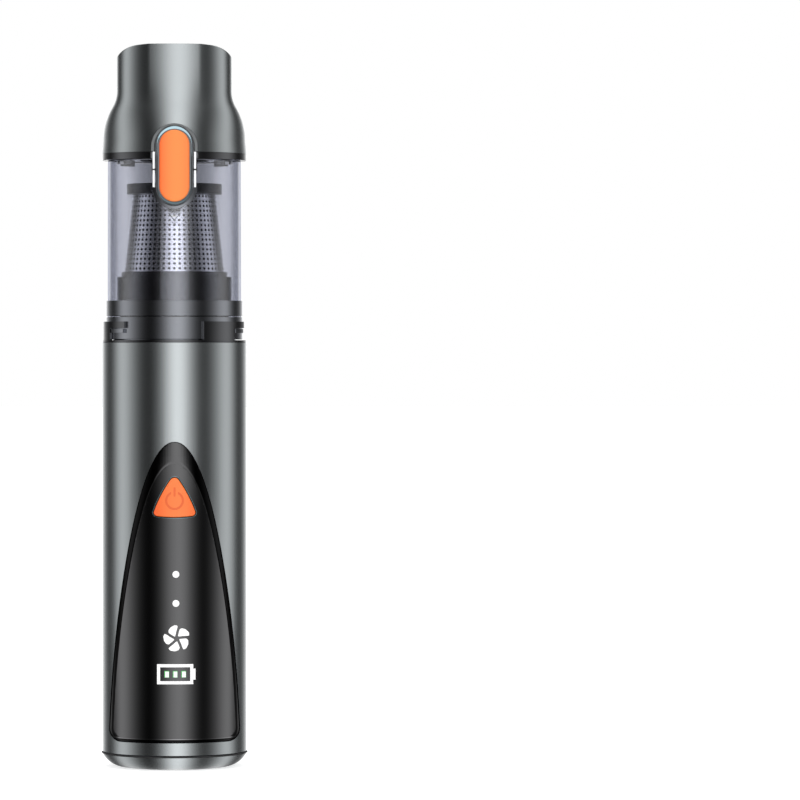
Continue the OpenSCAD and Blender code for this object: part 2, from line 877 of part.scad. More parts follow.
// One rail with the spoke that the base screw holds and the shelf of the battery tray
module chassis_rail() {
    intersection() {
        union() {
            translate([rail_in, -rail_w / 2, z_feet]) cube([2 * rail_t, rail_w, z_bulk - z_feet + over]);
            translate([base_screw_pitch - boss_r, -rail_w / 2, z_feet])
                cube([rail_in - base_screw_pitch + boss_r + over, rail_w, spoke_t]);
            translate([shelf_in, -rail_w / 2, tray_z - shelf_t])
                cube([rail_in - shelf_in + over, rail_w, shelf_t]);
        }
        pillar(rail_out, 0, z_collar);
    }
}

// Vane that turns the air from the impeller downwards
module stator_vane() {
    translate([fan_r + vane_gap, 0, z_fan_floor - over]) rotate([0, 0, vane_turn])
        translate([0, -vane_t / 2, 0]) cube([vane_l, vane_t, blade_h + over]);
}

// Plate with a pocket for each cell, pockets upwards
module cell_plate() {
    difference() {
        pillar(tray_r, 0, tray_floor + pocket_h);
        each_cell() pillar(cell_r + fit_gap, tray_floor, tray_floor + pocket_h + over);
        translate([0, pack_y, 0]) for (a = [30 : 120 : 270]) rotate([0, 0, a])
            translate([tray_hole_out, 0, 0]) pillar(tray_hole_r, -over, tray_floor + pocket_h + over);
        translate([-body_r, -body_d - tray_front, -over]) cube([body_d, body_d, body_d]);
    }
}

// Places a child at each of the three cells
module each_cell() {
    translate([0, pack_y, 0]) for (a = [90 : 120 : 330]) rotate([0, 0, a])
        translate([cell_pitch, 0, 0]) children();
}

// Tray under the cells
module battery_tray() {
    color(black_plastic) translate([0, 0, tray_z]) cell_plate();
}

// Three cells with their positive ends up
module battery_cells() {
    color("#2f6fb0") each_cell() {
        pillar(cell_r, z_cells, z_cells + cell_h);
        pillar(nub_r, z_cells + cell_h - over, z_cells + cell_h + nub_h);
    }
}

// Lid over the cells, with room for their positive ends
module battery_lid() {
    color(black_plastic) difference() {
        translate([0, 0, z_lid + tray_floor + nub_h + pocket_h]) mirror([0, 0, 1]) cell_plate();
        each_cell() pillar(cell_r + fit_gap, z_lid - over, z_cells + cell_h);
        each_cell() pillar(nub_r + fit_gap, z_lid, z_cells + cell_h + nub_h + end_gap);
    }
}

// Motor can with its bearing boss
module motor_can() {
    color(steel) difference() {
        union() {
            pillar(motor_r, z_motor, z_motor_top);
            pillar(motor_boss_r, z_motor_top - over, z_fan_floor - motor_boss_drop);
        }
        pillar(shaft_r + pin_gap, z_motor - over, z_fan_floor);
        for (x = [-1, 1]) translate([x * motor_screw_pitch, 0, 0])
            pillar(screw_r + pin_gap, z_motor_top - motor_screw_in - end_gap, z_motor_top + over);
    }
}

// End bell with the motor's two terminals
module motor_end_bell() {
    low = z_motor - bell_h;
    color(black_plastic) difference() {
        union() {
            pillar(motor_r - bell_step, low, z_motor);
            for (x = [-1, 1])
                translate([x * motor_r / 2 - terminal_w / 2, -terminal_t / 2, low - terminal_h])
                    cube([terminal_w, terminal_t, terminal_h + over]);
        }
        pillar(shaft_r + pin_gap, low + bell_floor, z_motor + over);
    }
}

// Rubber pad between the motor and the bulkhead
module motor_damper() {
    color(rubber) difference() {
        ring(motor_r, motor_boss_r + slide_gap, z_motor_top, z_bulk);
        for (x = [-1, 1]) translate([x * motor_screw_pitch, 0, 0])
            pillar(screw_r + pin_gap, z_motor_top - over, z_bulk + over);
    }
}

// Two screws that hang the motor from the bulkhead
module motor_screws() {
    color(steel) for (x = [-1, 1]) translate([x * motor_screw_pitch, 0, 0]) {
        pillar(screw_head_r, z_fan_floor, z_fan_floor + screw_head_h);
        pillar(screw_r, z_motor_top - motor_screw_in, z_fan_floor + join);
    }
}

// Shroud over the impeller, with the eye that it draws through
module fan_shroud() {
    color(black_plastic) difference() {
        union() {
            ring(inner_r, inner_r - shroud_wall, z_fan_floor, z_shroud_top);
            ring(inner_r, eye_r, z_shroud_top - shroud_top_t, z_shroud_top);
            ring(eye_r + eye_lip_t, eye_r, hub_top + eye_gap, z_shroud_top);
        }
        for (a = collar_screw_angles) rotate([0, 0, a]) translate([collar_screw_pitch, 0, 0])
            pillar(screw_r + pin_gap, z_shroud_top - shroud_top_t - over, z_shroud_top + over);
    }
}

// Guard over the fan's eye
module intake_guard() {
    color(black_plastic) translate([0, 0, z_shroud_top]) {
        ring(collar_ledge_in - fit_gap, eye_r, 0, grille_t);
        ring(guard_mid + guard_bar / 2, guard_mid - guard_bar / 2, 0, grille_t);
        pillar(2 * guard_bar, 0, grille_t);
        for (a = [0 : 30 : 150]) rotate([0, 0, a])
            translate([-eye_r - guard_bar / 2, -guard_bar / 2, 0])
                cube([2 * eye_r + guard_bar, guard_bar, grille_t]);
    }
}

// Section of the bayonet collar on the right of the axis
module collar_section() {
    translate([collar_ledge_in, z_shroud_top]) square([inner_r - collar_ledge_in, collar_ledge_t]);
    translate([spigot_r - collar_wall, z_shroud_top])
        square([inner_r - spigot_r + collar_wall, collar_depth]);
    translate([spigot_r - collar_wall, z_collar]) square([body_r - spigot_r + collar_wall, flange_t]);
    translate([spigot_r - collar_wall, z_collar]) square([collar_wall, z_spigot - z_collar]);
    translate([collar_bore, z_spigot - collar_top_t]) square([spigot_r - collar_bore, collar_top_t]);
}

// One hook of the bayonet, an upright with an arm over the gap for a lug
module hook() {
    difference() {
        ring_part(hook_out, hook_in, z_deck - flange_t / 2, z_deck + hook_h, hook_start, upright_a + arm_a);
        ring_part(
            hook_out + over, hook_in - over, z_deck - flange_t, z_deck + arm_low, arm_start, arm_a + over
        );
    }
}

// Bayonet collar with its three hooks
module collar() {
    color(black_plastic) difference() {
        union() {
            rotate_extrude() collar_section();
            for (i = [0 : hooks - 1]) rotate([0, 0, i * 360 / hooks]) hook();
        }
        ring(seal_out + fit_gap, seal_in - fit_gap, z_spigot - seal_sunk, z_spigot + over);
        for (a = collar_screw_angles) rotate([0, 0, a]) translate([collar_screw_pitch, 0, 0])
            pillar(screw_r + pin_gap, z_shroud_top - over, z_shroud_top + collar_ledge_t + over);
    }
}

// Screws that hold the fan shroud to the collar from below
module collar_screws() {
    low = z_shroud_top - shroud_top_t;
    color(steel) for (a = collar_screw_angles) rotate([0, 0, a]) translate([collar_screw_pitch, 0, 0]) {
        pillar(small_head_r, low - small_head_h, low);
        pillar(screw_r, low - join, z_shroud_top + collar_ledge_t);
    }
}

// Rubber ring that the filter presses on
module collar_seal() {
    color(rubber) ring(seal_out, seal_in, z_spigot - seal_sunk, z_filter - fit_gap);
}

// Shaft through the motor and the impeller
module motor_shaft() {
    color(steel) pillar(shaft_r, z_motor - bell_h + bell_floor + end_gap, hub_top + nut_h + end_gap);
}

// Impeller blade as a circular arc that leans back from the root to the tip
module blade_outline() {
    chord = fan_r - blade_root_r;
    arc_r = blade_bend * chord;
    intersection() {
        translate([blade_root_r + blade_shift * chord, blade_rise * arc_r]) difference() {
            circle(arc_r);
            circle(arc_r - blade_t);
        }
        difference() {
            circle(fan_r - blade_ends);
            circle(blade_root_r);
        }
        translate([0, -fan_r / 2]) square([fan_r, fan_r]);
    }
}

// Impeller with curved blades between two discs
module impeller() {
    low = z_blades - disc_t;
    color(black_plastic) difference() {
        union() {
            pillar(fan_r, low, z_blades);
            pillar(hub_r, low, hub_top);
            ring(fan_r, eye_r - eye_overlap, z_eye, hub_top);
            translate([0, 0, z_blades - join]) linear_extrude(blade_h + 2 * join)
                for (i = [0 : blades - 1]) rotate([0, 0, i * 360 / blades]) blade_outline();
        }
        pillar(shaft_r + pin_gap, low - over, hub_top + over);
    }
}

// Nut that holds the impeller on its shaft
module impeller_nut() {
    color(steel) difference() {
        translate([0, 0, hub_top]) cylinder(r = nut_r, h = nut_h, $fn = 6);
        pillar(shaft_r + pin_gap, hub_top - over, hub_top + nut_h + over);
    }
}

// Power button with the lip that keeps it behind the panel
module power_button() {
    color(orange) {
        intersection() {
            ring(button_r, button_back_r, panel_z, panel_top);
            forward(body_d) triangle(0);
        }
        intersection() {
            ring(panel_seat_r - fit_gap, button_back_r, panel_z, panel_top);
            forward(body_d) triangle(button_lip);
        }
    }
}

// Plunger between the button and its switch
module switch_plunger() {
    color("white") intersection() {
        pillar(button_back_r - pin_gap, panel_z, panel_top);
        depth_rod(plunger_r, 0, button_z, -body_r, -board_y - switch_h + plunger_in);
    }
}

// Clear dust cup with its bayonet lugs, the ears of the latch and two hinge knuckles
module dust_cup() {
    color(clear_plastic) difference() {
        union() {
            ring(cup_r, cup_in, z_step, z_rim);
            ring(skirt_r, skirt_in, z_cup, z_step + step_t);
            for (i = [0 : hooks - 1]) rotate([0, 0, i * 360 / hooks])
                ring_part(
                    lug_out, skirt_r - over, z_deck + lug_low + slide_gap, z_deck + arm_low - slide_gap,
                    arm_start + lug_ease_a, arm_a - 2 * lug_ease_a
                );
            for (x = [-1, 1]) {
                cup_ear(x);
                cup_knuckle(x);
            }
            translate([-spring_w / 2, -spring_y, spring_z]) cube([spring_w, cup_wall / 2, spring_foot_h]);
        }
        cross_bar(lever_pin_r + pin_gap, -lever_pin_y, z_lever_pin, pocket_w + over);
        cross_bar(hinge_pin_r + pin_gap, hinge_y, z_hinge, body_d);
    }
}

// Ear on one side of the latch lever
module cup_ear(x) {
    mirror([x < 0 ? 1 : 0, 0, 0]) translate([ear_in, -ear_front, 0]) {
        translate([0, 0, ear_low]) cube([ear_t, ear_front - cup_r + ear_root, z_rim - ear_low]);
        translate([0, 0, z_rim - over])
            cube([ear_t, ear_front - catch_y - 2 * slide_gap, ear_low + ear_h - z_rim + over]);
    }
}

// Hinge knuckle on one side, with the web that joins it to the cup
module cup_knuckle(x) {
    mirror([x < 0 ? 1 : 0, 0, 0]) {
        translate([cup_knuckle_x, hinge_y, z_hinge]) rotate([0, 90, 0])
            cylinder(r = knuckle_r, h = cup_knuckle_l);
        difference() {
            translate([cup_knuckle_x, 0, z_rim - web_h]) cube([cup_knuckle_l, hinge_y, web_h]);
            pillar(cup_r - cup_wall / 2, 0, z_mouth);
        }
    }
}

// Pin of the nose's hinge, fast in the cup's knuckles
module hinge_pin() {
    color(steel) cross_bar(hinge_pin_r, hinge_y, z_hinge, 2 * (cup_knuckle_x + cup_knuckle_l));
}

// Pin of the latch lever, fast in the cup's ears
module latch_pin() {
    color(steel) cross_bar(lever_pin_r, -lever_pin_y, z_lever_pin, 2 * (ear_in + ear_t));
}

// Leaf spring between the cup and the lower half of the lever
module latch_spring() {
    tip_z = spring_z + spring_rise;
    tip_y = lever_back + (relief_z - tip_z) * tan(lever_relief) - join;
    color(steel) translate([-spring_w / 2, 0, 0]) rotate([90, 0, 90]) linear_extrude(spring_w) {
        translate([-spring_y - spring_t, spring_z]) square([spring_t, spring_foot_h]);
        polygon([
            [-spring_y, spring_z], [-spring_y - spring_t, spring_z + spring_t], [spring_t - tip_y, tip_z],
            [-tip_y, tip_z], [-spring_y - spring_t, spring_z]
        ]);
    }
}

// Base of the filter: the seat in the skirt and two rings above it
module filter_base() {
    color(black_plastic) rotate_extrude() {
        translate([filter_bore, z_filter]) square([seat_r - filter_bore, filter_seat_h]);
        translate([filter_bore, z_filter]) square([lower_ring_r - filter_bore, z_lower - z_filter]);
        translate([filter_bore, z_filter]) square([upper_ring_r - filter_bore, z_cone_foot - z_filter]);
        translate([filter_hole_r, z_filter]) square([filter_bore - filter_hole_r + over, filter_floor]);
    }
}

// Seal with lips round the filter's seat
module filter_seal() {
    low = z_filter + seal_start;
    h = filter_seat_h - seal_start - end_gap;
    in = seat_r + pin_gap;
    color(rubber) {
        ring(in + seal_band, in, low, low + h);
        for (i = [0 : lips - 1]) let (z = low + i * (h - lip_t) / (lips - 1))
            ring(skirt_in - pin_gap, in, z, z + lip_t);
    }
}

// Pleated paper core inside the steel cone
module filter_core() {
    color("#f3f1ea") translate([0, 0, z_core]) linear_extrude(core_top - z_core) difference() {
        polygon([for (i = [0 : 2 * pleats - 1]) pleat_point(i, core_r, core_in + core_paper)]);
        polygon([for (i = [0 : 2 * pleats - 1]) pleat_point(i, core_r - core_paper, core_in)]);
    }
}

function pleat_point(i, crest, root) =
    (i % 2 == 0 ? crest : root) * [cos(180 * i / pleats), sin(180 * i / pleats)];

// Steel cone, rolled from flat strips with two columns of holes each
module filter_mesh() {
    color(steel) difference() {
        strip_cone(0);
        strip_cone(cone_t);
        for (row = [0 : hole_rows - 1], column = [0 : hole_columns - 1]) {
            z = cone_margin + row * hole_pitch;
            r = cone_foot_r - cone_slope * z;
            rotate([0, 0, (column + 0.5) * strip_a / 2]) translate([r - 3 * cone_t, 0, z_cone_foot + z])
                rotate([0, 90, 0]) cylinder(r = hole_r, h = 4 * cone_t);
        }
    }
}

// Cone of flat strips, drawn in by an inset
module strip_cone(inset) {
    past = inset > 0 ? over : 0;
    foot = (cone_foot_r + cone_slope * past) * cos(strip_a / 2) - inset;
    top = (cone_top_r - cone_slope * past) * cos(strip_a / 2) - inset;
    intersection_for (i = [0 : strips - 1]) rotate([0, 0, i * strip_a]) rotate([90, 0, 0])
        linear_extrude(4 * cone_foot_r, center = true) polygon([
            [-2 * cone_foot_r, z_cone_foot - past], [foot, z_cone_foot - past],
            [top, z_cone_top + past], [-2 * cone_foot_r, z_cone_top + past]
        ]);
}

// Solid cap on the filter, which turns the incoming dirt outwards
module filter_cap() {
    plug_r = cone_top_r - cone_t - slide_gap;
    color(black_plastic) rotate_extrude() {
        translate([0, z_cone_top - cap_spigot_h]) square([plug_r, cap_spigot_h]);
        polygon([
            [0, z_cone_top], [filter_cap_r, z_cone_top], [filter_cap_r, z_cone_top + filter_cap_h - cap_edge],
            [filter_cap_r - cap_edge, z_cone_top + filter_cap_h], [0, z_cone_top + filter_cap_h]
        ]);
    }
}

// Latch lever, relieved behind its lower half so that it can tip inwards
module latch_lever() {
    color(black_plastic) difference() {
        union() {
            intersection() {
                forward(lever_front) pill(lever_w, lever_bottom, lever_top);
                translate([-body_r, -body_d, 0]) cube([body_d, body_d - lever_back, z_mouth]);
            }
            translate([-hook_w / 2, -lever_back - over, hook_z])
                cube([hook_w, lever_back - hook_tip + over, hook_lip_h]);
        }
        translate([0, -lever_back, relief_z]) rotate([-lever_relief, 0, 0])
            translate([-lever_w, 0, -lever_l]) cube([2 * lever_w, lever_l, lever_l]);
        translate([-lever_w, -lever_upper_back, z_rim + over])
            cube([2 * lever_w, lever_upper_back, hook_z - z_rim - over]);
        translate([0, pad_sunk - lever_front, 0]) forward(body_r)
            pill(pad_w + 2 * pin_gap, z_lever - pad_l / 2 - pin_gap, z_lever + pad_l / 2 + pin_gap);
        cross_bar(lever_pin_r + turn_gap, -lever_pin_y, z_lever_pin, body_d);
    }
}

// Orange pad set into the lever
module latch_pad() {
    color(orange) intersection() {
        forward(lever_front + pad_proud) pill(pad_w, z_lever - pad_l / 2, z_lever + pad_l / 2);
        translate([-body_r, -body_d, 0]) cube([body_d, body_d - lever_front + pad_sunk, z_mouth]);
    }
}

// Outer section of the nose: a straight shoulder, a bulging and a hollow curve, and the neck
module nose_section() {
    turn = [nose_r - flare_r, z_shoulder]
        + flare_r / (flare_r + hollow_r) * [neck_r + hollow_r - nose_r + flare_r, flare_h];
    intersection() {
        translate([nose_r - flare_r, z_shoulder]) circle(flare_r);
        translate([0, z_shoulder]) square([nose_r, turn[1] - z_shoulder]);
    }
    difference() {
        polygon([
            [0, z_nose_cone], [nose_r, z_nose_cone], [nose_r, z_shoulder], turn, [neck_r, z_neck],
            [neck_r, z_mouth + mouth_reach], [0, z_mouth + mouth_reach]
        ]);
        translate([neck_r + hollow_r, z_neck]) circle(hollow_r);
    }
}

// Solid form of the nose with its two flat faces
module nose_form() {
    difference() {
        rotate_extrude() nose_section();
        for (side = [0, 1]) mirror([0, side, 0]) facet_cut(0);
    }
}

// Hollow of the nose, drawn in from its outer sizes by an inset
module nose_hollow(inset, low) {
    difference() {
        rotate_extrude() polygon([
            [0, low], [nose_r - inset, low], [nose_r - inset, z_shoulder], [neck_r - inset, z_neck],
            [neck_r - inset, z_mouth + mouth_reach], [0, z_mouth + mouth_reach]
        ]);
        for (side = [0, 1]) mirror([0, side, 0]) facet_cut(inset);
    }
}

// What a flat face takes off the neck, with its run-out below in short flats
module facet_cut(inset) {
    r = facet_blend + inset;
    top = z_facet + neck_h + mouth_reach;
    run_out = [
        for (i = [0 : run_out_flats]) let (a = run_out_a * i / run_out_flats)
            [facet_y + facet_blend - r * cos(a), z_facet - r * sin(a)]
    ];
    low = run_out[run_out_flats][1];
    rotate([90, 0, 90]) linear_extrude(2 * body_d, center = true) polygon(concat(
        [[facet_y - inset - (top - z_facet) * tan(facet_lean), top]], run_out, [[body_d, low], [body_d, top]]
    ));
}

// Everything above the slanted mouth, let down by a depth
module above_mouth(depth) {
    translate([0, 0, z_mouth]) rotate([-mouth_slant, 0, 0]) translate([-body_d, -body_d, -depth])
        cube([2 * body_d, 2 * body_d, body_d]);
}

// Pocket for the latch at the front of the nose
module latch_pocket() {
    forward(body_d) pill(pocket_w, lever_bottom, lever_top + pocket_gap);
}

// Outer shell of the nose
module nose_cone() {
    color(gunmetal) difference() {
        nose_form();
        nose_hollow(nose_wall, z_nose_cone - over);
        above_mouth(0);
        latch_pocket();
    }
}

// Base plate of the nose: its rim is the black band, its front wall holds the catch of the latch
module nose_base() {
    color(black_plastic) difference() {
        union() {
            pillar(nose_r, z_nose, z_nose_cone);
            catch_wall();
            for (a = lug_angles)
                ring_part(lug_out_r, lug_out_r - lug_t, z_nose - lug_drop, z_nose_cone, a - lug_a / 2, lug_a);
            cross_bar(knuckle_r, hinge_y, z_hinge, knuckle_l);
            translate([-knuckle_l / 2, nose_in, z_nose]) cube([knuckle_l, hinge_y - nose_in, knuckle_r]);
        }
        translate([0, 0, z_nose - over]) linear_extrude(band_h + 2 * over)
            round_rect(duct_w, duct_d, duct_corner);
        ring(nose_seal_out + fit_gap, nose_seal_in - fit_gap, z_nose - over, z_rim + nose_seal_t);
        difference() {
            latch_pocket();
            translate([-body_r, -catch_y, 0]) cube([body_d, body_d, z_mouth]);
        }
        cross_bar(hinge_pin_r + turn_gap, hinge_y, z_hinge, body_d);
    }
    color(black_plastic) catch_rib();
}

// Wall behind the latch pocket
module catch_wall() {
    intersection() {
        nose_hollow(nose_wall + fit_gap, z_nose);
        translate([-pocket_w / 2 - catch_side, -catch_y, z_nose])
            cube([pocket_w + 2 * catch_side, catch_t, lever_top + catch_top - z_nose]);
    }
}

// Rib that the lever's hook holds down
module catch_rib() {
    translate([-catch_w / 2, slide_gap - hook_tip, catch_z])
        cube([catch_w, hook_tip - slide_gap - catch_y + over, catch_h]);
}

// Seal between the nose and the rim of the cup
module nose_seal() {
    color(rubber) ring(nose_seal_out, nose_seal_in, z_rim + join, z_rim + nose_seal_t);
}

// Duct from the mouth to the base plate, with the throat that the flap closes
module inlet_duct() {
    color(black_plastic) difference() {
        union() {
            difference() {
                translate([0, 0, z_nose_cone]) linear_extrude(z_mouth - z_nose_cone + mouth_reach)
                    round_rect(duct_w + 2 * duct_wall, duct_d + 2 * duct_wall, duct_corner + duct_wall);
                above_mouth(duct_recess);
            }
            difference() {
                nose_hollow(nose_wall + fit_gap, z_shoulder - over);
                above_mouth(duct_recess);
                translate([0, 0, -duct_face_t / cos(mouth_slant)]) mouth_slab();
            }
        }
        translate([0, 0, z_throat]) linear_extrude(body_d) round_rect(duct_w, duct_d, duct_corner);
        translate([0, 0, z_nose_cone - over]) linear_extrude(z_throat - throat_t - z_nose_cone + over)
            round_rect(duct_w, duct_d, duct_corner);
        translate([0, 0, z_throat - body_d / 2]) linear_extrude(body_d)
            round_rect(duct_w - 2 * throat_lip, duct_d - 2 * throat_lip, duct_corner - throat_lip);
        cross_bar(flap_pin_r + pin_gap, flap_pin_y, z_flap_pin, body_d);
    }
}

// Everything below the recessed face of the duct
module mouth_slab() {
    translate([0, 0, z_mouth]) rotate([-mouth_slant, 0, 0])
        translate([-body_d, -body_d, -duct_recess - 2 * body_d]) cube([2 * body_d, 2 * body_d, 2 * body_d]);
}

// Pin of the inlet flap, fast in the duct's walls
module flap_pin() {
    color(steel) cross_bar(flap_pin_r, flap_pin_y, z_flap_pin, duct_w);
}

// Rubber flap that closes the throat from below
module inlet_flap() {
    top = z_throat - throat_t - slide_gap;
    color(rubber) difference() {
        union() {
            translate([0, 0, top - flap_t]) linear_extrude(flap_t) intersection() {
                round_rect(duct_w - 2 * flap_gap, duct_d - 2 * flap_gap, duct_corner - flap_gap);
                translate([-duct_w, -duct_d]) square([2 * duct_w, duct_d + flap_pin_y]);
            }
            cross_bar(flap_knuckle_r, flap_pin_y, z_flap_pin, flap_knuckle_l);
        }
        cross_bar(flap_pin_r + turn_gap, flap_pin_y, z_flap_pin, duct_w);
    }
}

body_shell();
base_cap();
base_ring();
tail_grille();
base_screws();
control_panel();
light_guide();
circuit_board();
board_screws();
switch_body();
usb_socket();
charge_board();
chassis();
battery_tray();
battery_cells();
battery_lid();
motor_can();
motor_end_bell();
motor_damper();
motor_screws();
fan_shroud();
intake_guard();
collar();
collar_screws();
collar_seal();
motor_shaft();
impeller();
impeller_nut();
power_button();
switch_plunger();
dust_cup();
hinge_pin();
latch_pin();
latch_spring();
filter_base();
filter_seal();
filter_core();
filter_mesh();
filter_cap();
latch_lever();
latch_pad();
nose_cone();
nose_base();
nose_seal();
inlet_duct();
flap_pin();
inlet_flap();
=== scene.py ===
"""Looks of a handheld vacuum cleaner, laid out as an add-on and run as a script."""

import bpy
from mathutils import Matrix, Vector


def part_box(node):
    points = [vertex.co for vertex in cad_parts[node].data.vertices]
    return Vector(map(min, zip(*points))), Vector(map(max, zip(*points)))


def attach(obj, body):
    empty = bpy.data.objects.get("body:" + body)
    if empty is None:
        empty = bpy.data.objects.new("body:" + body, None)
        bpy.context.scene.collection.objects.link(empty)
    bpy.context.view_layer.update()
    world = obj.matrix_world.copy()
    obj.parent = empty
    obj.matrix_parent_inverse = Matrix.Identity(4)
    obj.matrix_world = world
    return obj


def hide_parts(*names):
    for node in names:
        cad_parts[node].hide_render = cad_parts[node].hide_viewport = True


bl_info = {
    "name": "Handheld Vacuum Cleaner",
    "version": (1, 0, 0),
    "blender": (4, 5, 0),
    "location": "View3D > Sidebar > Vacuum",
    "description": "Shells, panel, cup, filter, nose and latch of a handheld vacuum cleaner",
    "category": "Object",
}

from math import acos, atan2, copysign, cos, degrees, hypot, pi, radians, sin, sqrt, tan, tau

import bpy
from bpy.props import FloatProperty, FloatVectorProperty, IntProperty, PointerProperty
from mathutils import Vector

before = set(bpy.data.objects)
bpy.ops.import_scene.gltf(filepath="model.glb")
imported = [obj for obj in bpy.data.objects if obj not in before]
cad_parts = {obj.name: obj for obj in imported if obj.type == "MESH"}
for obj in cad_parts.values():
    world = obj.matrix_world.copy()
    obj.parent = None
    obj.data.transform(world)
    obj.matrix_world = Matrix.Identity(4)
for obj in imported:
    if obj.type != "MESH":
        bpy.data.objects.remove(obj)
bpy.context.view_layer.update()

MM = 0.001


def span(node):
    """Lowest and highest corner of a solid, in millimetres."""
    low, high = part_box(node)
    return low / MM, high / MM


TUBE_LOW, TUBE_HIGH = span("body_shell")
PANEL_LOW, PANEL_HIGH = span("control_panel")
BUTTON_LOW, BUTTON_HIGH = span("power_button")
PAD_LOW, PAD_HIGH = span("latch_pad")
LEVER_LOW, LEVER_HIGH = span("latch_lever")
CONE_LOW, CONE_HIGH = span("filter_mesh")
NOSE_LOW = span("nose_cone")[0]

TURN_STEPS = 192
SHARP = 40.0  # degrees; edges from here on are rounded and stay crisp
CLEAR = 5.0  # mm by which a cutting tool reaches past the piece
ROUND_PARTS = 28
HINGE = (35.2, 277.8)  # y and z of the nose's hinge, mm
SPIGOT_R = 31.4  # mm, collar's spigot and the skirt above it
BAR_RISE = 3.9  # mm from the middle of the button's ring to the middle of its bar

FINE = 0.3  # mm, grain of paint and plastic
# The flank strength is a painted sheen: the colour changes towards the flanks to stand in for
# brighter reflections there.
FLANK_REACH = 25.0  # mm from the middle at which a finish has its flank's strength
SATIN_FLANK_SHEEN = 1.35


def length(name, description, value):
    """A size property, given in millimetres."""
    return FloatProperty(
        name=name, description=description, default=value * MM, unit="LENGTH", precision=4
    )


def count(name, description, value, least):
    """A property that counts."""
    return IntProperty(name=name, description=description, default=value, min=least)


def colour(name, description, value):
    """A colour property in linear light."""
    return FloatVectorProperty(
        name=name, description=description, default=value, subtype="COLOR", size=3, min=0.0, max=1.0
    )


class VacuumSizes(bpy.types.PropertyGroup):
    """Sizes that shape the visible pieces."""

    tube_radius: length("Tube radius", "Outer radius of the body tube", TUBE_HIGH.x)
    tube_wall: length("Tube wall", "Wall of the body tube", 2.4)
    panel_width: length("Panel width", "Width of the panel's seat across its lower end", 60.0)
    panel_corner: length("Panel corner", "Radius of the panel's lower corners", 5.5)
    panel_border: length("Panel border", "Width of the raised border round the panel's face", 1.6)
    panel_drop: length("Panel drop", "Distance from the panel's apex to the apex of its face", 9.0)
    panel_recess: length("Panel recess", "Depth of the panel's face below its border", 0.15)
    button_width: length("Button width", "Width of the power button", 18.8)
    button_height: length("Button height", "Height of the power button", 17.4)
    symbol_radius: length("Symbol radius", "Radius of the ring sunk into the power button", 3.75)
    symbol_stroke: length("Symbol stroke", "Width of the grooves in the power button", 0.9)
    dot_radius: length("Dot radius", "Radius of the two round marks", 1.55)
    high_dot: length("Upper dot", "Height of the upper round mark above the foot", 89.45)
    low_dot: length("Lower dot", "Height of the lower round mark above the foot", 76.3)
    fan_mark: length("Fan mark", "Height of the fan mark's middle above the foot", 60.35)
    battery_mark: length("Battery mark", "Height of the battery mark's middle above the foot", 44.2)
    hole_radius: length("Hole radius", "Radius of a hole in the steel cone", 0.6)
    hole_rows: count("Hole rows", "Rows of holes in the steel cone", 16, 4)
    hole_columns: count("Hole columns", "Holes in each row", 60, 12)
    neck_oval: FloatProperty(
        name="Neck oval", description="Depth of the neck's curve over its width", default=0.68
    )
    face_edge: length("Face edge", "Half of the width of the neck's front face", 11.7)
    face_bow: length("Face bow", "Radius across the neck's front face", 48.0)


class VacuumColours(bpy.types.PropertyGroup):
    """Colours of the finishes."""

    gunmetal: colour("Gunmetal", "Metallic paint of the tube, base and nose", (0.385, 0.41, 0.418))
    gloss_black: colour("Gloss black", "Lacquered control panel", (0.0745, 0.0745, 0.076))
    black_plastic: colour("Black plastic", "Moulded black pieces", (0.012, 0.012, 0.013))
    graphite: colour("Graphite", "Bayonet collar and the cup's skirt", (0.182, 0.189, 0.206))
    dark_band: colour("Dark band", "Nose band, latch frame, filter rings", (0.105, 0.107, 0.112))
    orange: colour("Orange", "Latch pad", (1.0, 0.285, 0.06))
    deep_orange: colour("Deep orange", "Power button", (1.0, 0.222, 0.047))
    smoke: colour("Smoke", "Tint of the clear cup", (0.755, 0.77, 0.84))
    steel: colour("Steel", "Perforated cone, hinge pin and screws", (0.62, 0.62, 0.64))
    rubber: colour("Rubber", "Seals and flap", (0.022, 0.022, 0.024))
    trim_blue: colour("Trim blue", "Trim round the latch pad and the button", (0.33, 0.45, 0.50))
    mark_white: colour("Mark white", "Printed marks", (0.92, 0.92, 0.92))
    mark_green: colour("Mark green", "Edges of the battery cells' marks", (0.10, 0.55, 0.14))


# Shader maths


def combine(operation, swapped=False):
    """A method that joins a value with another by a Math node."""

    def method(self, other):
        return self.math(operation, *((other, self) if swapped else (self, other)))

    return method


class Value:
    """A shader value; arithmetic on it adds Math nodes."""

    def __init__(self, finish, socket):
        self.finish = finish
        self.socket = socket

    def math(self, operation, *values):
        return self.finish.node("Math", {"operation": operation}, dict(enumerate(values)))

    __add__, __radd__ = combine("ADD"), combine("ADD", True)
    __sub__, __rsub__ = combine("SUBTRACT"), combine("SUBTRACT", True)
    __mul__, __rmul__ = combine("MULTIPLY"), combine("MULTIPLY", True)
    __truediv__, __pow__ = combine("DIVIDE"), combine("POWER")
    below, above = combine("LESS_THAN"), combine("GREATER_THAN")

    def __abs__(self):
        return self.math("ABSOLUTE", self)

    def bell(self, width):
        """One at zero, falling off smoothly on both sides."""
        share = self / width
        return self.math("EXPONENT", 0.0 - share * share)

    def clipped(self):
        """The value held between zero and one."""
        return self.math("MINIMUM", self.math("MAXIMUM", self, 0.0), 1.0)


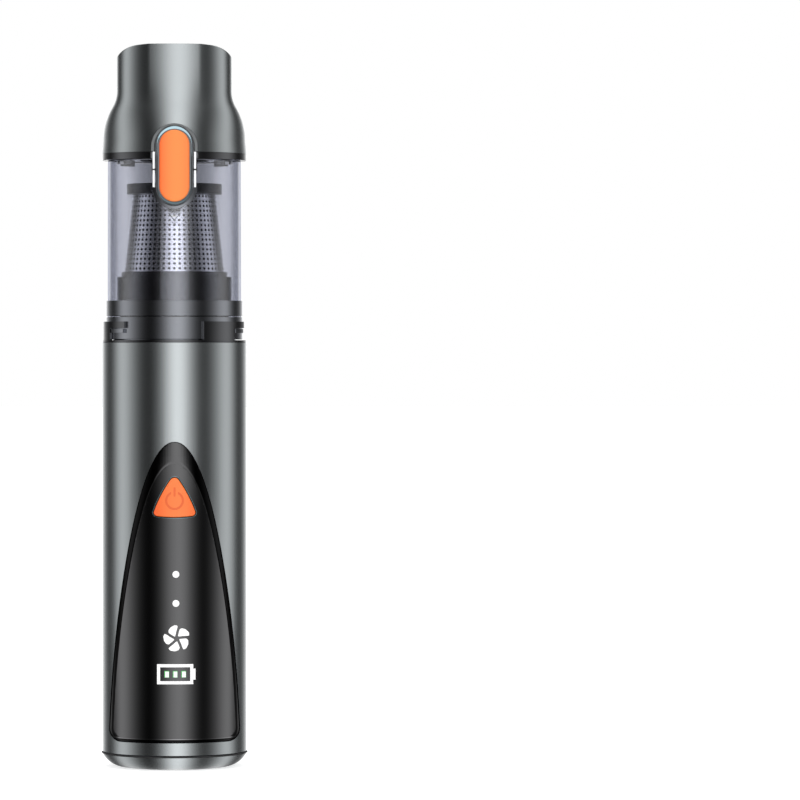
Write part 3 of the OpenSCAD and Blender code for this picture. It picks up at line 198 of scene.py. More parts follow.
class Finish:
    """The nodes of a material, or of the world, built up from values."""

    def __init__(self, name, world=None):
        self.owner = world or bpy.data.materials.new(name)
        self.owner.use_nodes = True
        self.tree = self.owner.node_tree
        self.tree.nodes.clear()
        kind = "ShaderNodeOutputWorld" if world else "ShaderNodeOutputMaterial"
        self.output = self.tree.nodes.new(kind)

    def node(self, kind, settings=None, sockets=None, out=0):
        """Adds a node; its settings come first, then the values or links of its sockets."""
        node = self.tree.nodes.new("ShaderNode" + kind)
        for key, value in (settings or {}).items():
            setattr(node, key, value)
        for key, value in (sockets or {}).items():
            if isinstance(value, Value):
                self.tree.links.new(value.socket, node.inputs[key])
            else:
                node.inputs[key].default_value = value
        return Value(self, node.outputs[out])

    def place(self):
        """Coordinates on the piece itself, in metres."""
        return self.node("TexCoord", out="Object")

    def axes(self):
        """The piece's x, y and z in millimetres."""
        sockets = {0: self.place(), "Scale": 1 / MM}
        return self.parts(self.node("VectorMath", {"operation": "SCALE"}, sockets))

    def parts(self, vector):
        """The x, y and z of a vector."""
        split = self.node("SeparateXYZ", None, {0: vector})
        return [Value(self, output) for output in split.socket.node.outputs]

    def grain(self, size, detail=2.0, stretch=(1.0, 1.0, 1.0)):
        """Noise with features of about a size in millimetres."""
        mapped = self.node("Mapping", None, {"Vector": self.place(), "Scale": stretch})
        sockets = {"Vector": mapped, "Scale": 1 / (size * MM), "Detail": detail}
        return self.node("TexNoise", None, sockets)

    def blend(self, factor, first, second):
        """Mixes two colours."""
        sockets = {0: factor, 6: shade(first), 7: shade(second)}
        return self.node("Mix", {"data_type": "RGBA"}, sockets, out=2)

    def painted_flank_sheen(self, tone, strength):
        """A colour that goes over to another strength at the piece's flanks, a painted sheen."""
        x = self.axes()[0]
        return self.blend((abs(x) / FLANK_REACH).clipped(), tone, toned(tone, strength))

    def bumps(self, height, strength, depth):
        """Normal of a surface with a fine relief; depth is in millimetres."""
        sockets = {"Strength": strength, "Distance": depth * MM, "Height": height}
        return self.node("Bump", None, sockets)

    def surface(self, **sockets):
        """The main shader, with its sockets written with underscores."""
        named = {key.replace("_", " "): value for key, value in sockets.items()}
        return self.node("BsdfPrincipled", None, named)

    def close(self, shader):
        """Joins the last shader to the output."""
        self.tree.links.new(shader.socket, self.output.inputs["Surface"])
        return self.owner

    def coated(self, **sockets):
        """Closes the finish with the main shader alone."""
        return self.close(self.surface(**sockets))


def shade(value):
    """A colour of three parts made up to four; a link passes as it is."""
    return value if isinstance(value, Value) else (*value[:3], 1.0)


def toned(tone, factor):
    """A colour made darker or lighter by a factor."""
    return tuple(part * factor for part in tone)


def metal_paint(name, tone, roughness=0.22, flanks=1.0):
    """Metallic finish with fine flake, a slow drift of its sheen and its own strength of painted
    sheen on its flanks.
    """
    finish = Finish(name)
    flake, drift = finish.grain(FINE, 1.0), finish.grain(22.0)
    base = finish.blend(0.1 * flake, finish.painted_flank_sheen(tone, flanks), (0.0, 0.0, 0.0))
    dullness = roughness + 0.03 * drift + 0.02 * flake
    return finish.coated(Base_Color=base, Metallic=1.0, Roughness=dullness)


def moulded(name, tone, roughness, relief=0.06, ior=1.5):
    """Moulded plastic with a fine spark-eroded grain."""
    finish = Finish(name)
    grain, cloud = finish.grain(FINE, 3.0), finish.grain(9.0)
    return finish.coated(
        Base_Color=finish.blend(cloud, toned(tone, 0.88), toned(tone, 1.12)),
        Roughness=roughness - 0.04 + 0.08 * grain, IOR=ior,
        Normal=finish.bumps(grain, relief, 0.02),
    )


def smoky_clear(name, tone):
    """Clear plastic whose back is darker, a painted shade; its edges and shadows let light straight
    through.
    """
    finish = Finish(name)
    wipe = finish.grain(6.0, 3.0, (1.0, 1.0, 0.3))
    y = finish.axes()[1]
    # Painted shade: the tint darkens towards the back to stand in for the dark seen through the
    # cup.
    painted_back_shade = (0.058 * y - 0.7).clipped()
    body = finish.surface(
        Base_Color=finish.blend(painted_back_shade, tone, toned(tone, 0.25)),
        Roughness=0.002 + 0.006 * wipe, Transmission_Weight=1.0, IOR=1.585,
    )
    passing = finish.node("BsdfTransparent", None, {"Color": shade(toned(tone, 0.9))})
    facing = finish.node("LayerWeight", None, {"Blend": 0.5}, out="Facing")
    edge = ((facing - 0.5) / 0.4).clipped()
    shadow = finish.node("LightPath", out="Is Shadow Ray")
    passes = (edge + shadow).clipped()
    return finish.close(finish.node("MixShader", None, {0: passes, 1: body, 2: passing}))


def sheet_steel(name, tone):
    """Rolled steel with fine lines along the cone."""
    finish = Finish(name)
    lines = finish.grain(0.4, 2.0, (1.0, 1.0, 0.04))
    base = finish.blend(lines, toned(tone, 0.9), toned(tone, 1.05))
    return finish.coated(Base_Color=base, Metallic=1.0, Roughness=0.21 + 0.06 * lines)


def edge_with_painted_reflections(name, tone, low, high):
    """Edge painted near black as a painted dark reflection, keeping the lacquer's colour near the
    middle above one height, with a painted highlight line at another.
    """
    finish = Finish(name)
    haze = finish.grain(8.0)
    x, _, z = finish.axes()
    # The near black is a painted dark reflection; the line at the low height is a painted
    # highlight.
    sheen = (1.0 - ((abs(x) - 3.5) / 6.0).clipped()) * ((z - high) / 4.0).clipped()
    plain = finish.blend(sheen, toned(tone, 0.1), tone)
    base = finish.blend(abs(z - low).below(0.3), plain, toned(tone, 2.4))
    return finish.coated(Base_Color=base, Metallic=1.0, Roughness=0.07 + 0.04 * haze)


def collar_satin(name, tone):
    """Satin collar whose hooks and rim, outside its spigot, are as dark as the nose's band."""
    finish = Finish(name)
    outer_tone = bpy.context.scene.vacuum_colours.dark_band
    drift = finish.grain(16.0)
    x, y, _ = finish.axes()
    outside = (x * x + y * y).above(SPIGOT_R ** 2)
    # Painted sheen: inside the spigot the colour grows lighter towards the flanks.
    base = finish.blend(outside, finish.painted_flank_sheen(tone, SATIN_FLANK_SHEEN), outer_tone)
    return finish.coated(Base_Color=base, Metallic=1.0, Roughness=0.14 + 0.04 * drift)


def blue_trim(name, tone, level):
    """Bright trim painted dark below a level, a painted shade on its lower part."""
    finish = Finish(name)
    lines = finish.grain(0.6)
    z = finish.axes()[2]
    # Painted shade: the blue darkens below the level.
    base = finish.blend(((z - level) / 3.0).clipped(), toned(tone, 0.25), tone)
    return finish.coated(Base_Color=base, Metallic=1.0, Roughness=0.22 + 0.06 * lines)


def orange_plastic(name, tone, reach, symbol=False):
    """Orange plastic with painted shade towards its sides; a sunk symbol gets painted shade, a
    darker orange.
    """
    finish = Finish(name)
    grain = finish.grain(FINE, 3.0)
    x, _, z = finish.axes()
    # Painted shade: the orange deepens and darkens towards the sides, where the surface turns from
    # the light.
    painted_side_shade = (abs(x - 1.2) / reach).clipped()
    base = finish.blend(painted_side_shade * painted_side_shade, tone, (tone[0], 0.45 * tone[1], 0.22 * tone[2]))
    # Painted shade in the symbol's grooves: they are coloured a darker orange.
    if symbol:
        middle, ring, stroke = symbol_sizes()
        up = z - middle
        from_middle = (x * x + up * up) ** 0.5
        in_ring = abs(from_middle - ring).below(0.55 * stroke)
        opening = abs(x).below(1.5) * up.above(0.0)
        in_bar = abs(x).below(0.5 * stroke) * abs(up - BAR_RISE).below(2.1)
        sunk = (in_ring * (1.0 - opening) + in_bar).clipped()
        base = finish.blend(sunk, base, (0.88 * tone[0], 0.70 * tone[1], 0.66 * tone[2]))
    relief = finish.bumps(grain, 0.05, 0.02)
    return finish.coated(Base_Color=base, Roughness=0.36 + 0.06 * grain, Normal=relief)


def painted_glow(name, tone, glow):
    """Flat colour with a painted glow on top of it; none of its pieces is a lamp."""
    finish = Finish(name)
    ink = finish.blend(finish.grain(0.15, 1.0), toned(tone, 0.97), tone)
    return finish.coated(Base_Color=ink, Roughness=0.4, Emission_Color=ink, Emission_Strength=glow)


# For each finish: its kind, its colour, the strength of that colour, and what the kind needs.
COATS = {
    "gunmetal_paint": (metal_paint, "gunmetal", 1.0),
    "nose_paint": (metal_paint, "gunmetal", 0.92),
    # Flank strengths above one are a painted sheen: the colour grows lighter towards the flanks.
    "graphite_satin": (metal_paint, "graphite", 1.0, 0.15, SATIN_FLANK_SHEEN),
    "dark_satin": (metal_paint, "dark_band", 1.0, 0.15),
    "ring_satin": (metal_paint, "dark_band", 0.78, 0.17),
    "panel_lacquer": (metal_paint, "gloss_black", 1.0, 0.06, 1.7),
    "bezel_blue": (metal_paint, "trim_blue", 0.4),
    # The panel's edge is painted near black as a dark reflection, with a painted highlight line.
    "panel_edge": (edge_with_painted_reflections, "gloss_black", 1.0, PANEL_LOW.z + 1.75, PANEL_HIGH.z - 22),
    "collar_satin": (collar_satin, "graphite", 1.0),
    # The trim is painted dark below this height, a painted shade.
    "blue_trim": (blue_trim, "trim_blue", 1.0, NOSE_LOW.z - 3.0),
    "bright_steel": (sheet_steel, "steel", 1.0),
    "smoky_clear": (smoky_clear, "smoke", 1.0),
    # Both oranges get painted shade towards their sides, the button's also in its symbol.
    "button_orange": (orange_plastic, "deep_orange", 1.0, 12.0, True),
    "pad_orange": (orange_plastic, "orange", 1.0, 8.5),
    "black_moulding": (moulded, "black_plastic", 1.0, 0.36),
    "soft_rubber": (moulded, "rubber", 1.0, 0.62, 0.12),
    "rim_grey": (moulded, (0.17, 0.18, 0.185), 1.0, 0.4),
    "board_green": (moulded, (0.012, 0.10, 0.045), 1.0, 0.45),
    "cell_wrap": (moulded, (0.03, 0.16, 0.42), 1.0, 0.3),
    "filter_cloth": (moulded, (0.012, 0.012, 0.013), 1.0, 0.9, 0.3, 1.03),
    "white_moulding": (moulded, (0.75, 0.75, 0.74), 1.0, 0.4),
    # These glows are painted light; none of these pieces is a lamp.
    "mark_white": (painted_glow, "mark_white", 1.0, 0.25),
    "mark_green": (painted_glow, "mark_green", 1.0, 0.1),
    "bright_clear": (painted_glow, (0.93, 0.94, 0.96), 1.0, 0.25),
    "pointer_white": (painted_glow, (0.62, 0.63, 0.66), 1.0, 0.1),
}


def coat(name):
    """The finish of a name, built at its first use."""
    build, tone, strength, *values = COATS[name]
    if isinstance(tone, str):
        tone = getattr(bpy.context.scene.vacuum_colours, tone)
    return bpy.data.materials.get(name) or build(name, toned(tone, strength), *values)


# Modelling


def clear():
    """Leaves edit mode and deselects everything."""
    if bpy.context.object and bpy.context.object.mode != "OBJECT":
        bpy.ops.object.mode_set(mode="OBJECT")
    bpy.ops.object.select_all(action="DESELECT")


def pick(*pieces):
    """Selects only these pieces; the first is the active one."""
    clear()
    for piece in pieces:
        piece.select_set(True)
    bpy.context.view_layer.objects.active = pieces[0]


def edit(piece, *steps):
    """Runs each step in edit mode on everything in the piece."""
    pick(piece)
    bpy.ops.object.mode_set(mode="EDIT")
    for step, options in steps:
        bpy.ops.mesh.select_all(action="SELECT")
        step(**options)
    bpy.ops.object.mode_set(mode="OBJECT")


def modify(piece, kind, **settings):
    """Adds a modifier to the piece, sets it and applies it."""
    modifier = piece.modifiers.new(kind.lower(), kind)
    for key, value in settings.items():
        setattr(modifier, key, value)
    pick(piece)
    bpy.ops.object.modifier_apply(modifier=modifier.name)


def tidy(piece):
    """Merges doubles, drops loose edges and turns the faces outwards."""
    edit(
        piece,
        (bpy.ops.mesh.remove_doubles, {"threshold": 1e-7}),
        (bpy.ops.mesh.delete_loose, {}),
        (bpy.ops.mesh.normals_make_consistent, {"inside": False}),
    )


def outline(name, points, filled):
    """A closed outline through points in millimetres."""
    clear()
    fill = "NGON" if filled else "NOTHING"
    bpy.ops.mesh.primitive_circle_add(vertices=len(points), radius=1.0, fill_type=fill)
    piece = bpy.context.object
    piece.name = name
    piece.data.name = name
    for vertex, point in zip(piece.data.vertices, points):
        vertex.co = Vector(point) * MM
    return piece


def turned(name, section):
    """A closed section of radius and height, turned about the axis."""
    piece = outline(name, [(r, 0.0, z) for r, z in section], False)
    whole = {"steps": TURN_STEPS, "angle": tau, "center": (0, 0, 0), "axis": (0, 0, 1)}
    edit(piece, (bpy.ops.mesh.spin, whole))
    tidy(piece)
    return piece


def prism(name, points, axis, start, end):
    """An outline drawn out along an axis between two places."""
    spot = {
        "x": lambda a, b: (start, a, b),
        "y": lambda a, b: (a, start, b),
        "z": lambda a, b: (a, b, start),
    }[axis]
    piece = outline(name, [spot(a, b) for a, b in points], True)
    way = Vector([(end - start) * MM if letter == axis else 0.0 for letter in "xyz"])
    edit(piece, (bpy.ops.mesh.extrude_region_move, {"TRANSFORM_OT_translate": {"value": way}}))
    tidy(piece)
    return piece


def layered(name, loops):
    """A closed shell through outlines of equal count, each drawn out of the last."""
    piece = outline(name, loops[0], True)
    pick(piece)
    bpy.ops.object.mode_set(mode="EDIT")
    bpy.ops.mesh.select_mode(type="FACE")
    bpy.ops.mesh.select_all(action="SELECT")
    for here, following in zip(loops, loops[1:]):
        bpy.ops.mesh.extrude_region_move(TRANSFORM_OT_translate={"value": (0, 0, 0)})
        bpy.ops.object.mode_set(mode="OBJECT")
        starts = [Vector(point) * MM for point in here]
        for vertex in piece.data.vertices:
            if vertex.select:
                away = [(start - vertex.co).length_squared for start in starts]
                vertex.co = Vector(following[away.index(min(away))]) * MM
        bpy.ops.object.mode_set(mode="EDIT")
    bpy.ops.object.mode_set(mode="OBJECT")
    edit(piece, (bpy.ops.mesh.normals_make_consistent, {"inside": False}))
    return piece


def cut(piece, *tools):
    """Takes each tool away from the piece."""
    for tool in tools:
        modify(piece, "BOOLEAN", operation="DIFFERENCE", solver="EXACT", object=tool)
        bpy.data.objects.remove(tool)


def soften(piece, width):
    """Rounds the piece's sharp edges by a width in millimetres."""
    limit = {"limit_method": "ANGLE", "angle_limit": radians(SHARP)}
    modify(piece, "BEVEL", width=width * MM, segments=2, **limit)


def joined(name, *pieces):
    """Makes one piece of several."""
    pick(*pieces)
    bpy.ops.object.join()
    pieces[0].name = name
    pieces[0].data.name = name
    return pieces[0]


def rolled(piece, step=1.0, rise=0.0):
    """Cuts a piece drawn flat into strips, or a grid, and rolls it about the axis by its depths."""
    reach = max(abs(vertex.co.x) for vertex in piece.data.vertices) / MM
    strips = int(reach / step) + 1
    planes = [((i * step * MM, 0, 0), (1, 0, 0)) for i in range(-strips, strips + 1)]
    if rise:
        heights = [vertex.co.z / MM for vertex in piece.data.vertices]
        low, high = min(heights), max(heights)
        levels = [(low + (i + 0.5) * rise) * MM for i in range(int((high - low) / rise) + 1)]
        planes += [((0, 0, level), (0, 0, 1)) for level in levels]
    edit(piece, *[
        (bpy.ops.mesh.bisect, {"plane_co": spot, "plane_no": way, "threshold": 1e-8})
        for spot, way in planes
    ])
    for vertex in piece.data.vertices:
        vertex.co.y = -sqrt(max(vertex.co.y ** 2 - vertex.co.x ** 2, 0.0))
    tidy(piece)


def dressed(piece, finish, body, slot, *nodes, angle=SHARP):
    """Smooths a piece, gives it its finish and body, and hides the solids that it stands for; its
    slot is not used.
    """
    pick(piece)
    bpy.ops.object.shade_smooth_by_angle(angle=radians(angle))
    modify(piece, "WEIGHTED_NORMAL", keep_sharp=True)
    piece.data.materials.clear()
    piece.data.materials.append(coat(finish))
    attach(piece, body)
    if nodes:
        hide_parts(*nodes)


def softened(node, width, finish, body, slot):
    """A copy of a solid with its flat faces whole and its edges rounded."""
    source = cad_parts[node]
    clear()
    piece = source.copy()
    piece.data = source.data.copy()
    piece.parent = None
    piece.name = node + "_soft"
    bpy.context.collection.objects.link(piece)
    edit(
        piece,
        (bpy.ops.mesh.remove_doubles, {"threshold": 1e-6}),
        (bpy.ops.mesh.dissolve_limited, {"angle_limit": radians(0.5)}),
    )
    soften(piece, width)
    dressed(piece, finish, body, slot, node)
    return piece


# Outlines


def eased(points, radius, parts=4):
    """A closed outline with its corners rounded, by one radius or one for each corner."""
    radii = radius if isinstance(radius, (list, tuple)) else [radius] * len(points)
    result = []
    for i, point in enumerate(points):
        here = Vector(point)
        before = Vector(points[i - 1]) - here
        after = Vector(points[(i + 1) % len(points)]) - here
        turn = before.angle(after)
        r = radii[i]
        if r <= 0 or turn > pi - 1e-3:
            result.append(tuple(here))
            continue
        reach = min(r / tan(turn / 2), 0.49 * before.length, 0.49 * after.length)
        r = reach * tan(turn / 2)
        first, last = before.normalized(), after.normalized()
        middle = here + (first + last).normalized() * (r / sin(turn / 2))
        start, end = here + first * reach - middle, here + last * reach - middle
        sweep = start.angle_signed(end)
        for part in range(parts + 1):
            a = -sweep * part / parts
            result.append((
                middle.x + start.x * cos(a) - start.y * sin(a),
                middle.y + start.x * sin(a) + start.y * cos(a),
            ))
    return result


def arc(middle, radius, start, end, parts):
    """Points of an arc, its angles in degrees."""
    angles = [radians(start + (end - start) * i / parts) for i in range(parts + 1)]
    return [(middle[0] + radius * cos(a), middle[1] + radius * sin(a)) for a in angles]


def pill(width, low, high):
    """Outline with two round ends between two heights."""
    r = width / 2
    top = arc((0, high - r), r, 0, 180, ROUND_PARTS)
    return top + arc((0, low + r), r, 180, 360, ROUND_PARTS)


def block(x, z, width, height):
    """Rectangle about a middle."""
    a, b = width / 2, height / 2
    return [(x - a, z - b), (x + a, z - b), (x + a, z + b), (x - a, z + b)]


def arch(sizes, drop, trim):
    """Outline of the control panel, with its apex let down and its other edges drawn in."""
    gap, side_parts, corner_parts = 0.15, 28, 8
    top = PANEL_HIGH.z + gap
    height = top - PANEL_LOW.z + gap - drop - trim
    width = sizes.panel_width / MM - 2 * trim
    r = sizes.panel_corner / MM - trim / 2

    def half(t):
        return width / 2 * (1 - (1 - t / height) ** 1.5) ** 0.48

    falls = [(height - r) * (i / side_parts) ** 2 for i in range(side_parts + 1)]
    right = [(half(t), -t) for t in falls]
    for i in range(1, corner_parts + 1):
        a = radians(90 * i / corner_parts)
        t = height - r + r * sin(a)
        right.append((half(min(t, height)) - r * (1 - cos(a)), -t))
    left = [(-x, z) for x, z in reversed(right[1:])]
    return [(x, top - drop + z) for x, z in right + left]


def button_middle():
    """Height of the middle of the button's face."""
    return (BUTTON_LOW.z + BUTTON_HIGH.z) / 2 + 0.5


def symbol_sizes():
    """Height of the middle, radius and stroke of the symbol in the button."""
    sizes = bpy.context.scene.vacuum_sizes
    return button_middle() - 1.7, sizes.symbol_radius / MM, sizes.symbol_stroke / MM


def triangle(sizes, grow):
    """Outline of the power button: three round corners with slightly bowed sides."""
    width, height = sizes.button_width / MM, sizes.button_height / MM
    apex_r, corner_r, bow, parts = 2.3, 1.6, 7.5, 10
    apex = Vector((0.0, height / 2 - apex_r))
    corner = Vector((width / 2 - corner_r, corner_r - height / 2))
    run = corner - apex
    side = degrees(atan2(run.y, run.x) + acos((apex_r - corner_r) / run.length))
    top = arc(apex, apex_r + grow, 90, side + bow, parts)
    low = arc(corner, corner_r + grow, side - bow, bow - 90, parts)
    right = top + bowed(top[-1], low[0], side, bow) + low
    floor = bowed(low[-1], (-low[-1][0], low[-1][1]), -90, bow)
    left = [(-x, z) for x, z in reversed(right[1:])]
    middle = button_middle()
    return [(x, z + middle) for x, z in right + floor + left]


def bowed(start, end, normal, bow, parts=8):
    """Points between two ends of a slightly swollen side."""
    a, b = Vector(start), Vector(end)
    n = Vector((cos(radians(normal)), sin(radians(normal))))
    swell = 2 * (b - a).length * tan(radians(bow / 2))
    spots = [i / parts for i in range(1, parts)]
    return [tuple(a + t * (b - a) + t * (1 - t) * swell * n) for t in spots]


def drawn(points, depth):
    """An outline of x and z stood at a depth in front of the axis."""
    return [(x, -depth, z) for x, z in points]


# Pieces


class Piece:
    """What the operators share."""

    bl_options = {"REGISTER", "UNDO"}


class VACUUM_OT_body(Piece, bpy.types.Operator):
    """Body tube with the opening of the panel and the slot of the charging socket"""

    bl_idname = "vacuum.body"
    bl_label = "Body tube"

    def execute(self, context):
        sizes = context.scene.vacuum_sizes
        outer = sizes.tube_radius / MM
        inner = outer - sizes.tube_wall / MM
        low, high = TUBE_LOW.z, TUBE_HIGH.z
        corners = [(outer, low), (outer, high), (inner, high), (inner, low)]
        tube = turned("body_tube", eased(corners, [0.4, 0.5, 0, 0]))
        opening = prism("opening", arch(sizes, 0, 0), "y", -outer - CLEAR, 0)
        socket_low, socket_high = span("usb_socket")
        slot = block(0, (socket_low.z + socket_high.z) / 2, 9.9, 4.2)
        cut(tube, opening, prism("slot", eased(slot, 2.0, 6), "y", 0, outer + CLEAR))
        dressed(tube, "gunmetal_paint", "body", "gunmetal", "body_shell", angle=30)
        return {"FINISHED"}


class VACUUM_OT_base(Piece, bpy.types.Operator):
    """Rounded base cap with the tail port, the screw wells and the seam ring"""

    bl_idname = "vacuum.base"
    bl_label = "Base cap"

    def execute(self, context):
        outer = context.scene.vacuum_sizes.tube_radius / MM
        foot, height, edge, floor = 23.0, 6.1, 11.25, 2.2
        port, port_wall, port_top = 13.2, 15.4, 9.0
        spigot, spigot_bore, spigot_top = 30.45, 28.25, 14.9
        section = [(port_wall, port_top), (port, port_top)]
        section += eased([(port, port_top), (port, 0.0), (foot, 0.0)], [0, 0.8, 0])[1:-1]
        rise = degrees(acos(1 - height / edge))
        section += arc((foot, edge), edge, -90, rise - 90, 16)
        section += [
            (outer - 0.3, height), (spigot, height), (spigot, spigot_top),
            (spigot_bore, spigot_top), (spigot_bore, floor), (port_wall, floor),
        ]
        cap = turned("base_shell", section)
        screw_circle, well_r, well_top = 19.2, 2.46, 1.9
        for angle in (0, 50, 130, 180):
            a = radians(angle)
            middle = (screw_circle * cos(a), screw_circle * sin(a))
            cut(cap, prism("well", arc(middle, well_r, 0, 348, 29), "z", -2, well_top))
        dressed(cap, "gunmetal_paint", "body", "gunmetal", "base_cap", angle=30)
        low, high = span("base_ring")
        back, lip, slope = 30.6, 32.5, 0.3
        ring = turned("seam_ring", eased([
            (back, low.z), (lip, low.z), (high.x, low.z + slope), (high.x, high.z - slope),
            (lip, high.z), (back, high.z),
        ], [0, 0.2, 0.08, 0.08, 0.2, 0]))
        dressed(ring, "soft_rubber", "body", "rubber", "base_ring", angle=50)
        softened("tail_grille", 0.25, "black_moulding", "body", "black_plastic")
        softened("base_screws", 0.3, "bright_steel", "body", "steel")
        softened("usb_socket", 0.05, "bright_steel", "body", "steel")
        return {"FINISHED"}


class VACUUM_OT_panel(Piece, bpy.types.Operator):
    """Arched gloss panel with its rounded border, drawn flat and rolled onto the tube"""

    bl_idname = "vacuum.panel"
    bl_label = "Control panel"

    def execute(self, context):
        sizes = context.scene.vacuum_sizes
        front, recess = -PANEL_LOW.y, sizes.panel_recess / MM
        drop, border = sizes.panel_drop / MM, sizes.panel_border / MM
        # Each step: how far the apex is let down, how far the edges are drawn in, and the depth.
        border_steps = [(0.15, 0.15, -1.6), (0.15, 0.15, -0.75), (0.22, 0.22, -0.6)]
        for t in (0, 0.25, 0.5, 0.75):
            fall = 0.5 * (1 - t) ** 1.3
            border_steps.append((0.4 + (drop - 1.0) * t, 0.4 + (border - 0.52) * t, -fall))
        border_steps += [
            (drop - 0.6, border - 0.12, -0.01), (drop - 0.2, border - 0.04, 0.0),
            (drop + 0.3, border + 0.12, -0.03), (drop + 0.8, border + 0.3, 0.02 - recess),
            (drop + 1.0, border + 0.38, -recess), (drop + 1.05, border + 0.4, -0.9),
        ]
        face_steps = [
            (drop + 1.0, border + 0.38, -1.2), (drop + 1.0, border + 0.38, -recess - 0.03),
            (drop + 1.2, border + 0.45, -recess),
        ]
        # The border's finish is painted near black as a dark reflection, with a painted highlight
        # line near its foot.
        for name, steps, finish, nodes in (
            ("panel_border", border_steps, "panel_edge", ()),
            ("panel_face", face_steps, "panel_lacquer", ("control_panel",)),
        ):
            loops = [drawn(arch(sizes, fall, trim), front + depth) for fall, trim, depth in steps]
            piece = layered(name, loops)
            cut(piece, prism("well", triangle(sizes, 0.3), "y", -front - CLEAR, CLEAR - front))
            rolled(piece, 0.75, 4.0)
            dressed(piece, finish, "body", "gloss_black", *nodes)
        face = front - recess
        bezel = prism("button_bezel", triangle(sizes, 0.75), "y", -face - 0.15, 0.4 - face)
        cut(bezel, prism("well", triangle(sizes, 0.42), "y", -face - CLEAR, CLEAR - face))
        soften(bezel, 0.08)
        rolled(bezel)
        dressed(bezel, "bezel_blue", "body", "gloss_black")
        return {"FINISHED"}


class VACUUM_OT_button(Piece, bpy.types.Operator):
    """Three-cornered power button with a sunk power symbol"""

    bl_idname = "vacuum.button"
    bl_label = "Power button"

    def execute(self, context):
        sizes = context.scene.vacuum_sizes
        front = -BUTTON_LOW.y
        steps = [(0.0, -3.5), (0.0, -0.6), (-0.07, -0.3), (-0.25, -0.1), (-0.55, 0.0)]
        loops = [drawn(triangle(sizes, grow), front + depth) for grow, depth in steps]
        button = layered("power_key", loops)
        middle, ring, stroke = symbol_sizes()
        start, end, sunk = 114, 426, 0.25
        outer = arc((0, middle), ring + stroke / 2, start, end, 40)
        inner = arc((0, middle), ring - stroke / 2, end, start, 40)
        bar = eased(block(0, middle + BAR_RISE, stroke, 4.0), 0.3)
        for groove in (outer + inner, bar):
            cut(button, prism("groove", groove, "y", -front - CLEAR, sunk - front))
        rolled(button)
        dressed(button, "button_orange", "power", "orange_plastic", "power_button", angle=35)
        return {"FINISHED"}


class VACUUM_OT_marks(Piece, bpy.types.Operator):
    """Marks on the panel: two dots, a fan and a battery"""

    bl_idname = "vacuum.marks"
    bl_label = "Panel marks"

    def execute(self, context):
        sizes = context.scene.vacuum_sizes
        face, sunk = -PANEL_LOW.y - sizes.panel_recess / MM, 0.2

        def print_mark(name, outlines, height, finish="mark_white"):
            pieces = [prism(name, points, "y", -face - height, sunk - face) for points in outlines]
            piece = joined(name, *pieces)
            rolled(piece)
            dressed(piece, finish, "body", "white_plastic")

        ink, radius = 0.05, sizes.dot_radius / MM
        for name in ("high_dot", "low_dot"):
            dot = arc((0.6, getattr(sizes, name) / MM), radius, 0, 352, 44)
            print_mark(name, [dot], ink)
        blade = eased([
            (-0.84, 0.84), (-0.5, 1.7), (-0.26, 3.0), (0.21, 4.57), (0.45, 5.85), (-0.95, 6.1),
            (-2.78, 5.1), (-3.73, 3.7), (-3.6, 2.55), (-2.2, 1.65),
        ], [0.2, 0.6, 1, 1, 0.4, 1, 1, 0.6, 0.5, 1])
        x, z, count_blades = 0.95, sizes.fan_mark / MM, 5
        blades = []
        for i in range(count_blades):
            a = tau * i / count_blades
            c, s = cos(a), sin(a)
            blades.append([(x + c * u - s * v, z + s * u + c * v) for u, v in blade])
        print_mark("fan_blades", blades, ink)
        x, z, stroke = 0.25, sizes.battery_mark / MM, 1.4
        bars = [block(x, z + side * 3.85, 16.4, stroke) for side in (-1, 1)]
        bars += [block(x + side * 7.5, z, stroke, 6.3) for side in (-1, 1)]
        bars.append(block(x + 8.7, z, 1.0, 5.0))
        print_mark("battery_frame", bars, ink)
        spots = (x - 3.8, x, x + 3.85)
        edges = [block(spot, z, 2.1, 3.0) for spot in spots]
        cells = [block(spot + 0.12, z - 0.1, 1.65, 2.6) for spot in spots]
        print_mark("cell_edges", edges, ink - 0.01, "mark_green")
        print_mark("cell_marks", cells, ink + 0.01)
        return {"FINISHED"}


class VACUUM_OT_collar(Piece, bpy.types.Operator):
    """Bayonet collar with its hooks"""

    bl_idname = "vacuum.collar"
    bl_label = "Bayonet collar"

    def execute(self, context):
        softened("collar", 0.15, "collar_satin", "body", "black_plastic")
        return {"FINISHED"}


def make_wall(low, rim, step):
    """Clear wall with the two knuckles of the hinge."""
    corners = [(30.6, low), (30.45, rim), (29.1, rim), (29.2, step - 0.6), (29.2, low)]
    parts = [turned("cup_wall", eased(corners, 0.25))]
    back, foot, pin_r = 29.6, 273.0, 1.26
    shape = arc(HINGE, 2.5, -90, 150, 24) + [(back, rim - 0.1), (back, foot), (31.2, foot)]
    for side in (-1, 1):
        near, far = side * 6.1, side * 10.9
        knuckle = prism("knuckle", shape, "x", near, far)
        pin = arc(HINGE, pin_r, 0, 345, 23)
        cut(knuckle, prism("bore", pin, "x", near - CLEAR, far + CLEAR))
        soften(knuckle, 0.2)
        parts.append(knuckle)
    cup = joined("clear_cup", *parts)
    dressed(cup, "smoky_clear", "cup", "clear_plastic", "dust_cup", angle=35)


